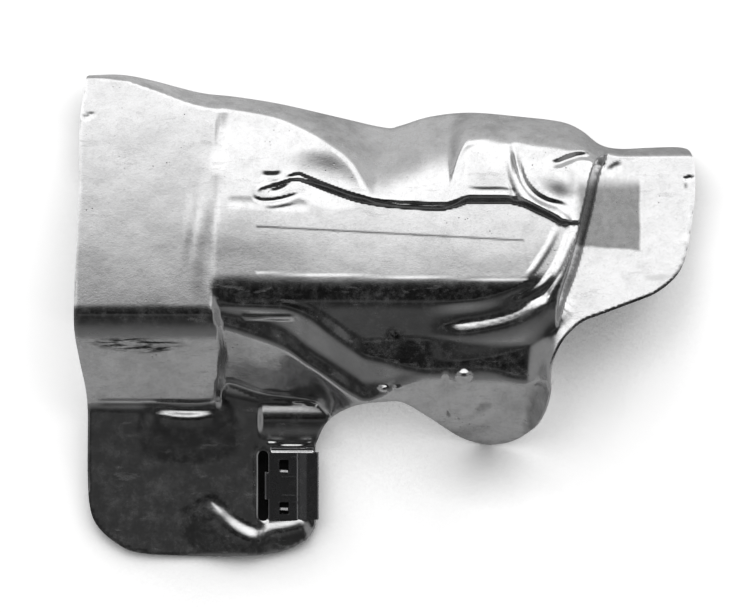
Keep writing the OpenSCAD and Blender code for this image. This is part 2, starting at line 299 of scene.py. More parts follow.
@dataclass(frozen=True)
class Panel:
    """A four-sided panel a little above or below the sheet, with a narrow slope round it."""

    corners: Curve
    height: float
    slope_width: float = 0.7

    def heights(self, x: Array, y: Array) -> Array:
        """Give the height that the panel adds at each point.

        Args:
            x: First coordinates of the points, on the drawing.
            y: Second coordinates of the points, on the drawing.

        Returns:
            The added height at each point.
        """
        share = np.ones(x.shape)
        corners = np.array(self.corners, float)
        for a, b in zip(corners, np.roll(corners, -1, axis=0)):
            side = (b - a) / np.hypot(*(b - a))
            inward = side[0] * (y - a[1]) - side[1] * (x - a[0])
            share = share * ease(0, self.slope_width, inward)
        return self.height * share


@dataclass(frozen=True)
class Terrace:
    """A line below the crown at which the sheet grows steeper, or flatter if its slope is negative."""

    line: Curve
    slope: float
    bend: float

    def fall(self, x: Array, y: Array) -> Array:
        """Give how far the sheet has fallen below its level because of this line."""
        return self.slope * blend_high(read_curve(x, self.line) - y, np.zeros(x.shape), self.bend)


GROOVE_LINE: Curve = (
    (70.4, 121.3), (72.6, 120.6), (80.6, 117.4), (90.2, 114.2), (99.8, 112.6), (115.8, 111.7),
    (120.6, 112.6), (124.8, 113.9), (136.6, 113.9), (141.4, 113), (146.2, 111), (153.9, 106.9))


@dataclass
class PressedForm:
    """The height of the sheet's upper face over its drawing, from blended faces and pressed marks."""

    crown_z: float = 35.0
    plate_step: float = 1.4
    step_half: float = 3.2
    step_narrow: float = 1.7
    flange_low: float = 1.2
    flange_slope: float = 0.09
    flange_lean: float = 0.02
    flange_fold_x: float = 44.5
    wall_foot: float = 2.9
    crown_y: float = 78.3
    plate_slope: float = 0.27
    plate_bow: float = 0.0007
    left_face_y: float = 73.4
    left_face_slope: float = 1.12
    panel_low_y: float = 84.5
    panel_high_y: float = 111.5
    panel_slope: float = 0.277
    panel_gain: float = 0.032
    panel_bow: float = 0.0003
    ground_slope: float = 0.4
    lip_h: float = 3.2
    riser_slope: float = 2.4
    riser_foot: float = 1.0
    centre_cap: float = 0.4
    tab_head_y: float = 70.0
    tab_turn_x: float = 80.0
    tab_fall: float = 1.2
    scoop_top_y: float = 127.7
    scoop_top_z: float = 9.6
    scoop_slope: float = 0.38
    fall_top_z: float = 32.0
    fall_slope: float = 3.6
    fall_drop: float = 0.16
    fall_drop_y: float = 90.0
    scoop_span: Point = (142.0, 155.0)
    top_edge: Curve = (
        (0, 154), (13, 154.2), (23, 152.3), (39, 148.2), (50, 146.9), (65, 144.6), (84, 140.2),
        (98, 137), (113, 140.5), (125, 141.8), (141, 140.5), (154, 138.9), (161, 136.3),
        (167, 131.8), (174, 130.4), (197, 130.6))
    wall_slope: Curve = (
        (0, 9), (12, 6), (28, 3.8), (45, 3.1), (60, 3), (72, 2.5), (84, 1.8), (96, 1.05),
        (118, 1.05), (125, 2.1), (155, 2.2), (168, 2.9), (197, 2.9))
    groove: Curve = ((64.6, 120.3), *GROOVE_LINE)
    lip_share: Curve = (
        (52, -0.6), (61, -0.4), (73, 0.3), (82, 0.75), (96.6, 0.75), (103, 0.4), (117, 0.4),
        (125.5, 1), (136.6, 1), (139.5, 0.7), (146.2, 1), (153, 0.95), (159, 0.5), (167, 0))
    plate_edge: Curve = (
        (0, 44.5), (49.9, 45.1), (65.9, 46.7), (81.9, 44.2), (94.7, 43.2), (109.1, 43.8),
        (125.1, 46.1), (154, 46.1))
    scoop_edge: Curve = (
        (67.5, 151.3), (74, 151.8), (81.9, 153.4), (94.7, 156.9), (104.3, 158.9), (113.9, 160.7),
        (121.9, 161.8), (126.7, 163.4), (136.3, 166))
    lower_face_slope: Curve = (
        (58, 1.26), (66, 1.32), (71, 1.6), (76, 1.9), (81, 1.6), (87, 1.3), (100, 1.15))
    terraces: tuple[Terrace, ...] = (
        Terrace(((46, 81), (79, 81.3), (154, 81)), 0.5, 0.8),
        Terrace(((46.1, 81), (71, 80.6), (74.2, 80), (81, 76.2), (88.3, 71), (92.2, 69.2),
                 (97, 69.4), (104, 70.2), (112.6, 69.5), (128.6, 68), (154.2, 67)), -0.5, 0.8),
        Terrace(((46.1, 80.6), (64.6, 80), (73.6, 76.5), (81, 71), (88.3, 65.9), (92.2, 63.4),
                 (97, 62.3), (104, 60.2), (112.6, 58.9), (128.6, 59.5), (141.4, 57),
                 (154.2, 56.3)), 0.8, 1.4),
        Terrace(((46.1, 78.1), (55.7, 76.5), (66.2, 72.6), (73.6, 66.9), (81, 62.1), (88.3, 57.3),
                 (92.2, 55), (97, 55.2), (104, 57), (112.6, 57.6), (154.2, 55)), -0.8, 1.6))
    face_top: Curve = (
        (46.1, 73.6), (55.7, 70.7), (66.2, 66.6), (73.6, 61.1), (81, 56.3), (88.3, 51.8),
        (92.2, 50.2), (97, 52), (103, 55.4), (112.6, 57.3), (154.2, 54.7))
    flange_bend: float = 2.0
    plate_wall_bend: float = 5.0
    crown_bend: float = 0.6
    face_bend: float = 6.0
    ground_bend: float = 1.5
    riser_bend: float = 1.2
    groove_bend: float = 0.8
    face_top_bend: float = 1.6
    tab_bend: float = 3.0
    cap_bend: float = 0.35
    centre_bend: float = 1.2
    scoop_wall_bend: float = 2.5
    fall_bend: float = 2.0
    scoop_bend: float = 3.5
    far_below: float = -9.0
    gain_span: Point = (48.0, 100.0)
    narrow_span: Point = (95.0, 128.0)
    features: tuple[Feature, ...] = ()

    def flange_z(self, x: Array, y: Array) -> Array:
        """Give the height of the flange's plane."""
        lean = self.flange_lean * np.maximum(self.flange_fold_x - x, 0)
        return self.flange_low + self.flange_slope * y + lean

    def wall_z(self, x: Array, y: Array) -> Array:
        """Give the height of the steep wall along the sheet's top edge."""
        return self.wall_foot + read_curve(x, self.wall_slope) * (read_curve(x, self.top_edge) - y)

    def left_z(self, x: Array, y: Array) -> Array:
        """Give the height of the left plate, its crown, its lower face and the flange.

        Args:
            x: First coordinates of the points, on the drawing.
            y: Second coordinates of the points, on the drawing.

        Returns:
            The height at each point.
        """
        up = np.maximum(y - self.crown_y, 0)
        plate = self.crown_z - self.plate_slope * (y - self.crown_y) - self.plate_bow * up**2
        face = self.crown_z - self.left_face_slope * (self.left_face_y - y)
        lower = blend_high(face, self.flange_z(x, y), self.flange_bend)
        crown = np.full(x.shape, self.crown_z)
        upper = blend_low(plate, self.wall_z(x, y), self.plate_wall_bend)
        return blend_low(upper, blend_low(crown, lower, self.face_bend), self.crown_bend)

    def panel_z(self, x: Array, y: Array) -> Array:
        """Give the height of the label panel, which steepens a little to the right and upwards.

        Args:
            x: First coordinates of the points, on the drawing.
            y: Second coordinates of the points, on the drawing.

        Returns:
            The height at each point.
        """
        up = y - self.panel_low_y
        slope = self.panel_slope + self.panel_gain * ease(*self.gain_span, x)
        return self.crown_z - self.plate_step - slope * up - self.panel_bow * np.maximum(up, 0) ** 2

    def above_panel_z(self, x: Array, y: Array) -> Array:
        """Give the height of the label panel, the groove's lip and the ground of the bulges.

        Args:
            x: First coordinates of the points, on the drawing.
            y: Second coordinates of the points, on the drawing.

        Returns:
            The height at each point.
        """
        groove_y = read_curve(x, self.groove)
        lip_rise = self.lip_h * read_curve(x, self.lip_share)
        lip = self.panel_z(x, groove_y) + lip_rise - self.ground_slope * (y - groove_y)
        riser = self.panel_z(x, y) + self.riser_slope * (y - groove_y + self.riser_foot)
        panel_top = self.panel_z(x, np.float64(self.panel_high_y))
        ground = panel_top - self.ground_slope * (y - self.panel_high_y)
        below = blend_low(self.panel_z(x, y), ground, self.ground_bend)
        return blend_high(below, blend_low(lip, riser, self.riser_bend), self.groove_bend)

    def centre_low_z(self, x: Array, y: Array) -> Array:
        """Give the height of the terraces below the crown and of the tab at their foot.

        Args:
            x: First coordinates of the points, on the drawing.
            y: Second coordinates of the points, on the drawing.

        Returns:
            The height at each point.
        """
        level = self.crown_z - self.plate_step - self.centre_cap
        falls = sum(terrace.fall(x, y) for terrace in self.terraces)
        face = Terrace(self.face_top, 1, self.face_top_bend)
        last = read_curve(x, self.lower_face_slope) * face.fall(x, y)
        tab = self.flange_z(x, y) - self.tab_fall * np.maximum(x - self.tab_turn_x, 0)
        foot = np.where(y < self.tab_head_y, tab, self.far_below)
        return blend_high(level - falls - last, foot, self.tab_bend)

    def centre_z(self, x: Array, y: Array) -> Array:
        """Give the height of everything between the left plate and the scoop.

        Args:
            x: First coordinates of the points, on the drawing.
            y: Second coordinates of the points, on the drawing.

        Returns:
            The height at each point.
        """
        level = self.crown_z - self.plate_step - self.centre_cap
        upper = blend_low(self.above_panel_z(x, y), self.wall_z(x, y), self.plate_wall_bend)
        upper = blend_low(upper, np.full(x.shape, level), self.cap_bend)
        return blend_low(upper, self.centre_low_z(x, y), self.centre_bend)

    def right_z(self, x: Array, y: Array) -> Array:
        """Give the height of the centre and of the scoop to its right.

        Args:
            x: First coordinates of the points, on the drawing.
            y: Second coordinates of the points, on the drawing.

        Returns:
            The height at each point.
        """
        centre = self.centre_z(x, y)
        down = self.fall_drop * np.maximum(y - self.fall_drop_y, 0)
        fall = self.fall_top_z - self.fall_slope * (x - read_curve(y, self.scoop_edge)) - down
        scoop = self.scoop_top_z + self.scoop_slope * (self.scoop_top_y - y)
        scoop = blend_low(scoop, self.wall_z(x, y), self.scoop_wall_bend)
        right = blend_high(blend_low(centre, fall, self.fall_bend), scoop, self.scoop_bend)
        share = ease(*self.scoop_span, x)
        return (1 - share) * centre + share * right

    def height(self, x: Array, y: Array) -> Array:
        """Give the height of the sheet's upper face with every pressed mark.

        Args:
            x: First coordinates of the points, on the drawing.
            y: Second coordinates of the points, on the drawing.

        Returns:
            The height at each point.
        """
        step_width = self.step_half - self.step_narrow * (1 - ease(*self.narrow_span, y))
        share = ease(-1, 1, (x - read_curve(y, self.plate_edge)) / step_width)
        z = (1 - share) * self.left_z(x, y) + share * self.right_z(x, y)
        for feature in self.features:
            z = z + feature.heights(x, y)
        return z


GROOVE_MARKS: tuple[Feature, ...] = (
    PressedLine(((65.9, 120), *GROOVE_LINE), 1.2, -0.55, fade=0.05),
)
# Two ribs left of the scoop, the valleys between them, and the crescent below
RIB_MARKS: tuple[Feature, ...] = (
    PressedLine(((137.6, 130.6), (138.2, 125.1), (139.8, 118.7), (142.7, 113.9), (147.8, 110.7),
                 (153.0, 108.8), (156.2, 106.2), (156.8, 103.0), (154.9, 97.3), (151.7, 90.9),
                 (146.6, 85.1), (136.6, 80.3)),
                2.1, 0.6, fade=0.05),
    PressedLine(((139.5, 129.9), (140.5, 125.1), (142.1, 119.7), (145.3, 115.5), (149.4, 113.0),
                 (154.2, 111.7), (157.1, 109.8)),
                1.6, -0.6, fade=0.3),
    PressedLine(((166.1, 126.7), (163.8, 121.0), (161.9, 113.9), (159.7, 105.0), (156.2, 95.4),
                 (153.3, 88.3), (150.1, 80.3)),
                2.7, 0.85, fade=0.1),
    PressedLine(((153.0, 106.2), (150.7, 100.5), (147.2, 94.7), (142.7, 88.3)), 1.6, 0.22, fade=0.2),
    PressedLine(((111.0, 76.8), (125.4, 77.8), (138.2, 81.0), (147.8, 86.4), (151.4, 90.2)),
                4.2, -1.4, fade=0.3),
    PressedLine(((111.0, 70.1), (125.4, 70.7), (139.8, 73.9), (150.4, 80.0), (154.2, 85.1)),
                4.4, 2.3, fade=0.25, right_width=8),
)
# Dents and wrinkles of the bulges above the groove
PILLOW_MARKS: tuple[Feature, ...] = (
    Dent((154.2, 121.0), (9, 7), 0.75, angle=-30),
    Dent((131.5, 124.2), (10, 8), 0.25),
    Dent((79.4, 120.3), (15, 9.5), -0.9, angle=-18),
    Dent((90.9, 124.2), (9, 8), 0.35, angle=-40),
    PressedLine(((149.8, 124.8), (153.0, 125.1), (156.2, 126.4), (160.0, 127.7), (163.8, 127.4),
                 (166.1, 125.8), (168.3, 122.9)), 1.8, -0.9, fade=0.2),
    PressedLine(((168.6, 121.6), (170.9, 123.5), (174.1, 125.8)), 2, -0.3, fade=0.4),
    PressedLine(((122.2, 117.1), (121.9, 121.0), (122.9, 126.1), (125.4, 129.9), (131.8, 132.2),
                 (139.8, 132.5)), 1.8, -0.14, fade=0.25),
    PressedLine(((122.9, 117.1), (128.6, 116.5), (135.0, 116.5), (140.5, 115.8)), 1.4, -0.16, fade=0.25),
)
# Creases near the scoop's right edge
SCOOP_MARKS: tuple[Feature, ...] = (
    PressedLine(((193.9, 119.7), (194.1, 113.9), (193.9, 106.9), (193.3, 100.5)), 1.1, -0.22, fade=0.15),
    PressedLine(((193.6, 120.0), (194.9, 120.6), (196.2, 121.0)), 1.1, -0.3, fade=0.2),
)
# Soft folds of the left plate, and the fold at the head of the flange
LEFT_MARKS: tuple[Feature, ...] = (
    PressedLine(((45.1, 125.1), (44.5, 113.9), (43.8, 104.3), (43.5, 94.1), (43.5, 83.5)),
                1.9, -0.24, fade=0.35),
    PressedLine(((47.4, 145.9), (46.7, 139.5), (45.8, 131.5), (44.8, 121.0)), 3.4, -0.75, fade=0.4),
    PressedLine(((1.9, 138.9), (3.8, 140.2), (6.4, 141.4)), 1.2, -0.16, fade=0.4),
    PressedLine(((42, 132), (41.5, 113.9), (39.5, 99.5), (39, 80)), 3.2, 0.4, fade=0.5),
    PressedLine(((36.5, 118), (36, 106), (34.5, 92)), 2.2, 0.2, fade=0.5),
    PressedLine(((5.4, 49.3), (23, 49.3), (39, 49), (45.1, 49.9)), 1.2, -0.3),
    PressedLine(((18.6, 46.1), (27.8, 44.2), (35.8, 43.5), (43.5, 44.5), (50.6, 47.4)),
                4.6, 2.15, fade=0.28, right_width=15),
)
# The foot of the centre, the roll above the clip, and the flange's folded corner
CENTRE_MARKS: tuple[Feature, ...] = (
    PressedLine(((44.2, 48.6), (46.7, 54.1), (49.3, 55.4), (58.2, 52.2), (67.8, 50.9),
                 (80.6, 49.3)), 1.8, -0.8, fade=0.08),
    PressedLine(((47.4, 113), (58.2, 112.6), (74.9, 111.7)), 2.4, -0.12),
    PressedLine(((51.8, 76.8), (58.9, 76.2), (70.1, 76.5)), 1.3, 0.7, fade=0.15),
    Dent((58.9, 79), (15, 3.5), 0.6, angle=-4),
    Roll((58.4, 82), 43.5, 6.4, 1.7, edge=1.2),
    PressedLine(((39.4, 19.2), (42.2, 14.1), (46.7, 9.0), (52.5, 5.4), (58.2, 3.5), (63.4, 2.6)),
                5.8, 2.1, fade=0.3, right_width=13),
    PressedLine(((57.0, 6.7), (62.1, 7.0), (68.5, 8.0), (75.2, 10.2)), 5, 1.6, fade=0.22, right_width=9),
    PressedLine(((57.0, 37.1), (57.3, 24.3), (56.6, 13.1)), 1.4, 0.3, fade=0.3),
    PressedLine(((60.2, 38.1), (62.1, 37.1), (68.5, 36.2), (75.5, 37.1)), 1.2, -0.5, fade=0.1),
    PressedLine(((61.4, 34.2), (68.5, 34.2), (75.8, 34.2)), 1.2, -0.55, fade=0.05),
)
# The curl at the groove's left end
CURL_MARKS: tuple[Feature, ...] = (
    PressedLine(((56.0, 116.5), (57.0, 114.2), (59.2, 113.3), (62.1, 113.3), (65.6, 113.9),
                 (69.1, 114.9), (72.3, 116.2)), 1, -0.26, fade=0.3),
    PressedLine(((58.6, 115.8), (58.6, 117.4), (60.8, 118.4), (63.0, 118.9), (66.2, 119.7)),
                1.2, 0.34, fade=0.3),
    PressedLine(((58.2, 121.6), (60.8, 121.3), (63.4, 121.3), (66.2, 121.9)), 1.7, -0.42, fade=0.4),
    PressedLine(((61.1, 116.0), (64.0, 116.6), (66.6, 117.8), (68.2, 119.7)), 1.1, -0.34, fade=0.4),
    PressedLine(((57.9, 112.3), (62.1, 112.0), (66.6, 112.6), (71.0, 113.6)), 1.4, 0.2, fade=0.4),
)
# Knocks on the lobe and on the terraces above it
LOBE_MARKS: tuple[Feature, ...] = (
    Dent((123.8, 53.1), (5.2, 9.5), 1.3),
    Dent((123.2, 57.9), (3.2, 2.2), 1.3),
    Dent((97.6, 53.8), (1.9, 1.4), 1.0),
    Dent((102.1, 53.8), (1.7, 1.4), 0.95),
    Dent((143.0, 42.6), (1.1, 1.0), 0.8),
    PressedLine(((117.4, 60.2), (117.4, 54.7), (117.8, 48.3), (119.0, 44.2)), 1.3, -0.8, fade=0.2),
    PressedLine(((118.4, 44.5), (122.2, 42.2), (126.7, 43.2), (130.6, 45.4), (135.0, 42.2)),
                5, 0.9, fade=0.4),
)
# The label panel, a little below the sheet round it
PANEL_MARKS: tuple[Feature, ...] = (
    Panel(((57, 90), (144.5, 87.6), (142.5, 101.1), (57, 105.6)), -0.06, slope_width=0.8),
)


@dataclass
class Region:
    """The area of sheet metal: inside the outline and outside the slot."""

    outline: Array
    slot: Array

    def nearest(self, x: Array, y: Array) -> tuple[Array, Array, Array]:
        """Measure the way to the nearest cut edge.

        Args:
            x: First coordinates of the points.
            y: Second coordinates of the points.

        Returns:
            The distance, positive inside the metal, and the nearest edge point's coordinates.
        """
        parts = []
        for loop, solid_inside in ((self.outline, True), (self.slot, False)):
            closed = np.vstack([loop, loop[:1]])
            gap, _, near_x, near_y = path_gap(x, y, closed)
            inside = is_inside(x, y, loop)
            parts.append((np.where(inside == solid_inside, 1, -1) * np.abs(gap), near_x, near_y))
        (outer, outer_x, outer_y), (inner, inner_x, inner_y) = parts
        use_inner = inner < outer
        return (np.where(use_inner, inner, outer), np.where(use_inner, inner_x, outer_x),
                np.where(use_inner, inner_y, outer_y))


Operand = Union["Signal", float]


class Signal:
    """A number that varies over a surface: an output socket on which sums can be written."""

    def __init__(self, board: "NodeBoard", socket: bpy.types.NodeSocket) -> None:
        """Keep the socket and the board that it belongs to."""
        self.board = board
        self.socket = socket

    def _maths(self, operation: str, *values: Operand, clamp: bool = False) -> "Signal":
        """Add a Math node for one operation.

        Args:
            operation: The node's operation.
            values: Its inputs, in order.
            clamp: Whether to keep the result between 0 and 1.

        Returns:
            The result.
        """
        settings = {"operation": operation, "use_clamp": clamp}
        inputs = {index: value for index, value in enumerate(values)}
        return Signal(self.board, self.board.add("ShaderNodeMath", settings, inputs).outputs[0])

    def __add__(self, other: Operand) -> "Signal":
        """Add."""
        return self._maths("ADD", self, other)

    def __sub__(self, other: Operand) -> "Signal":
        """Subtract."""
        return self._maths("SUBTRACT", self, other)

    def __rsub__(self, other: Operand) -> "Signal":
        """Subtract from a plain number."""
        return self._maths("SUBTRACT", other, self)

    def __mul__(self, other: Operand) -> "Signal":
        """Multiply."""
        return self._maths("MULTIPLY", self, other)

    def __truediv__(self, other: Operand) -> "Signal":
        """Divide."""
        return self._maths("DIVIDE", self, other)

    def __pow__(self, other: Operand) -> "Signal":
        """Raise to a power."""
        return self._maths("POWER", self, other)

    __radd__ = __add__
    __rmul__ = __mul__

    def angle_from(self, other: Operand) -> "Signal":
        """Give the angle, in degrees, of the direction whose other coordinate is given."""
        return self._maths("ARCTAN2", self, other) * math.degrees(1)

    def clamped(self) -> "Signal":
        """Keep the number between 0 and 1."""
        return self._maths("ADD", self, 0.0, clamp=True)

    def size(self) -> "Signal":
        """Drop the sign."""
        return self._maths("ABSOLUTE", self)

    def rise(self, start: float, end: float) -> "Signal":
        """Rise smoothly from 0 at start to 1 at end, or fall if end is the lower.

        Args:
            start: Value that becomes 0.
            end: Value that becomes 1.

        Returns:
            The eased share.
        """
        settings = {"interpolation_type": "SMOOTHSTEP"}
        low, high = (start, end) if end > start else (end, start)
        inputs = {"Value": self, "From Min": low, "From Max": high}
        eased = Signal(self.board, self.board.add("ShaderNodeMapRange", settings, inputs).outputs[0])
        return eased if end > start else 1 - eased


NodeInput = Union[Signal, bpy.types.NodeSocket, float, tuple, Vector]


@dataclass(frozen=True)
class Noise:
    """Soft noise: its largest patches, its finer layers, and the levels that it is eased between."""

    spacing: float
    detail: float = 4.0
    roughness: float = 0.55
    stretch: tuple[float, float, float] = (1.0, 1.0, 1.0)
    seed: float = 0.0
    levels: Point | None = None


@dataclass(frozen=True)
class Oval:
    """An oval area of the drawing, with its half length and half width, its turn and its soft share."""

    centre: Point
    radii: Point
    angle: float = 0.0
    soft: float = 0.5


class NodeBoard:
    """The nodes of one material or world, with the few helpers that it is written with."""

    def __init__(self, owner: bpy.types.Material | bpy.types.World,
                 output: str = "ShaderNodeOutputMaterial") -> None:
        """Start with nothing but the output.

        Args:
            owner: The material or world.
            output: Type of its output node.
        """
        owner.use_nodes = True
        self.owner = owner
        self.tree = owner.node_tree
        self.tree.nodes.clear()
        self.output = self.tree.nodes.new(output)
        self._place: bpy.types.NodeSocket | None = None

    def add(self, kind: str, settings: Mapping[str, object],
            inputs: Mapping[object, NodeInput]) -> bpy.types.Node:
        """Add any node.

        Args:
            kind: The node's type.
            settings: Its own settings; stops is the list of a ramp's positions and colours.
            inputs: The value or the link of each named or numbered socket.

        Returns:
            The new node.
        """
        node = self.tree.nodes.new(kind)
        for name, value in settings.items():
            if name == "stops":
                self._set_stops(node, value)
            else:
                setattr(node, name, value)
        for key, value in inputs.items():
            self.feed(node.inputs[key], value)
        return node

    def feed(self, socket: bpy.types.NodeSocket, value: NodeInput) -> None:
        """Link a socket, or set its own value.

        Args:
            socket: The socket.
            value: What to link it to, or its value.
        """
        if isinstance(value, Signal):
            self.tree.links.new(value.socket, socket)
        elif isinstance(value, bpy.types.NodeSocket):
            self.tree.links.new(value, socket)
        else:
            socket.default_value = value

    @staticmethod
    def _set_stops(node: bpy.types.Node, stops: Sequence[tuple[float, Colour]]) -> None:
        """Give a colour ramp its stops.

        Args:
            node: The ramp.
            stops: Position and colour of each stop, in order.
        """
        elements = node.color_ramp.elements
        while len(elements) > 1:
            elements.remove(elements[-1])
        elements[0].position, elements[0].color = stops[0]
        for position, colour in stops[1:]:
            elements.new(position).color = colour

    def place(self) -> bpy.types.NodeSocket:
        """Give the place on the object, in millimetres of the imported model's frame.

        Returns:
            The place, as a vector.
        """
        if self._place is None:
            coordinates = self.add("ShaderNodeTexCoord", {}, {})
            scaled = self.add("ShaderNodeVectorMath", {"operation": "SCALE"},
                              {0: coordinates.outputs["Object"], "Scale": 1 / MM})
            self._place = scaled.outputs[0]
        return self._place

    def stretched(self, stretch: Vector | tuple[float, float, float]) -> bpy.types.NodeSocket:
        """Give the place with each axis scaled, to draw a pattern out along one of them."""
        node = self.add("ShaderNodeVectorMath", {"operation": "MULTIPLY"}, {0: self.place(), 1: stretch})
        return node.outputs[0]

    def axes(self) -> tuple[Signal, Signal, Signal]:
        """Give the place's three coordinates apart.

        Returns:
            The three coordinates.
        """
        node = self.add("ShaderNodeSeparateXYZ", {}, {0: self.place()})
        x, y, z = (Signal(self, output) for output in node.outputs)
        return x, y, z

    def noise(self, kind: Noise) -> Signal:
        """Lay soft noise over the surface.

        Args:
            kind: The noise's sizes, in millimetres.

        Returns:
            The noise, from 0 to 1 around a half, eased between the kind's levels if it has them.
        """
        inputs = {"Vector": self.stretched(kind.stretch), "W": kind.seed, "Scale": 1 / kind.spacing,
                  "Detail": kind.detail, "Roughness": kind.roughness}
        node = self.add("ShaderNodeTexNoise", {"noise_dimensions": "4D"}, inputs)
        plain = Signal(self, node.outputs[0])
        return plain.rise(*kind.levels) if kind.levels else plain

    def specks(self, spacing: float, radius: float, seed: float = 0.0) -> Signal:
        """Make scattered round specks.

        Args:
            spacing: Mean distance between two, in millimetres.
            radius: Their radius as a share of that distance.
            seed: Fourth coordinate, which tells two layers apart.

        Returns:
            1 in the middle of a speck and 0 between them.
        """
        inputs = {"Vector": self.place(), "W": seed, "Scale": 1 / spacing}
        node = self.add("ShaderNodeTexVoronoi", {"voronoi_dimensions": "4D"}, inputs)
        return Signal(self, node.outputs["Distance"]).rise(radius, radius * 0.3)

    def oval(self, area: Oval) -> Signal:
        """Mark an oval area of the drawing.

        Args:
            area: The oval, in millimetres and degrees.

        Returns:
            1 inside and 0 outside.
        """
        x, y, _ = self.axes()
        turn = math.radians(area.angle)
        u = x - (area.centre[0] + DRAWING.corner[0])
        v = y - (area.centre[1] + DRAWING.corner[1])
        along = (u * math.cos(turn) + v * math.sin(turn)) / area.radii[0]
        across = (v * math.cos(turn) - u * math.sin(turn)) / area.radii[1]
        return ((along * along + across * across) ** 0.5).rise(1.0, 1.0 - area.soft)

    def mix(self, share: Operand, a: NodeInput, b: NodeInput) -> bpy.types.NodeSocket:
        """Mix two colours, by a share of the second."""
        node = self.add("ShaderNodeMix", {"data_type": "RGBA"}, {0: share, 6: a, 7: b})
        return node.outputs[2]

    def bump(self, height: Signal, depth: float, normal: bpy.types.NodeSocket | None = None
             ) -> bpy.types.NodeSocket:
        """Turn a height into a normal.

        Args:
            height: Height from 0 to 1.
            depth: Depth that 1 stands for, in millimetres.
            normal: Normal of a coarser layer below this one.

        Returns:
            The bent normal.
        """
        inputs: dict[object, NodeInput] = {"Height": height, "Distance": depth * MM}
        if normal is not None:
            inputs["Normal"] = normal
        return self.add("ShaderNodeBump", {}, inputs).outputs[0]

    def principled(self, inputs: Mapping[object, NodeInput]) -> bpy.types.Material:
        """Finish the material with a Principled shader.

        Args:
            inputs: The value or the link of each of its sockets.

        Returns:
            The material.
        """
        shader = self.add("ShaderNodeBsdfPrincipled", {}, inputs)
        self.tree.links.new(shader.outputs[0], self.output.inputs[0])
        return self.owner


@dataclass(frozen=True)
class Drawing:
    """Where the drawing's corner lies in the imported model's frame, in millimetres."""

    corner: tuple[float, float, float]

    @classmethod
    def from_frame(cls, form: PressedForm, sheet_t: float) -> "Drawing":
        """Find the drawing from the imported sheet's box and from its seat under the flange.

        Args:
            form: The pressed form, which knows the flange's plane.
            sheet_t: Thickness of the sheet.

        Returns:
            The drawing's place.
        """
        low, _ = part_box("heat_shield")
        seat = Vector(frame["record"]["mounts"][0]["pos_m"]) / MM
        corner_x, corner_y = low.x / MM, low.y / MM
        skin_z = form.flange_z(np.float64(seat.x - corner_x), np.float64(seat.y - corner_y))
        drop = sheet_t * math.sqrt(1 + form.flange_slope**2 + form.flange_lean**2)
        return cls((corner_x, corner_y, seat.z + drop - float(skin_z)))

    def to_frame(self, points: Array) -> Array:
        """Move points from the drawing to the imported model's frame, in metres."""
        return (points + np.array(self.corner)) * MM


SLOT_MIDDLE: Point = (59.3, 22.5)
FORM = PressedForm(
    features=GROOVE_MARKS + RIB_MARKS + PILLOW_MARKS + SCOOP_MARKS + LEFT_MARKS + CENTRE_MARKS
    + CURL_MARKS + LOBE_MARKS + PANEL_MARKS)
SHEET_T = 0.8
DRAWING = Drawing.from_frame(FORM, SHEET_T)


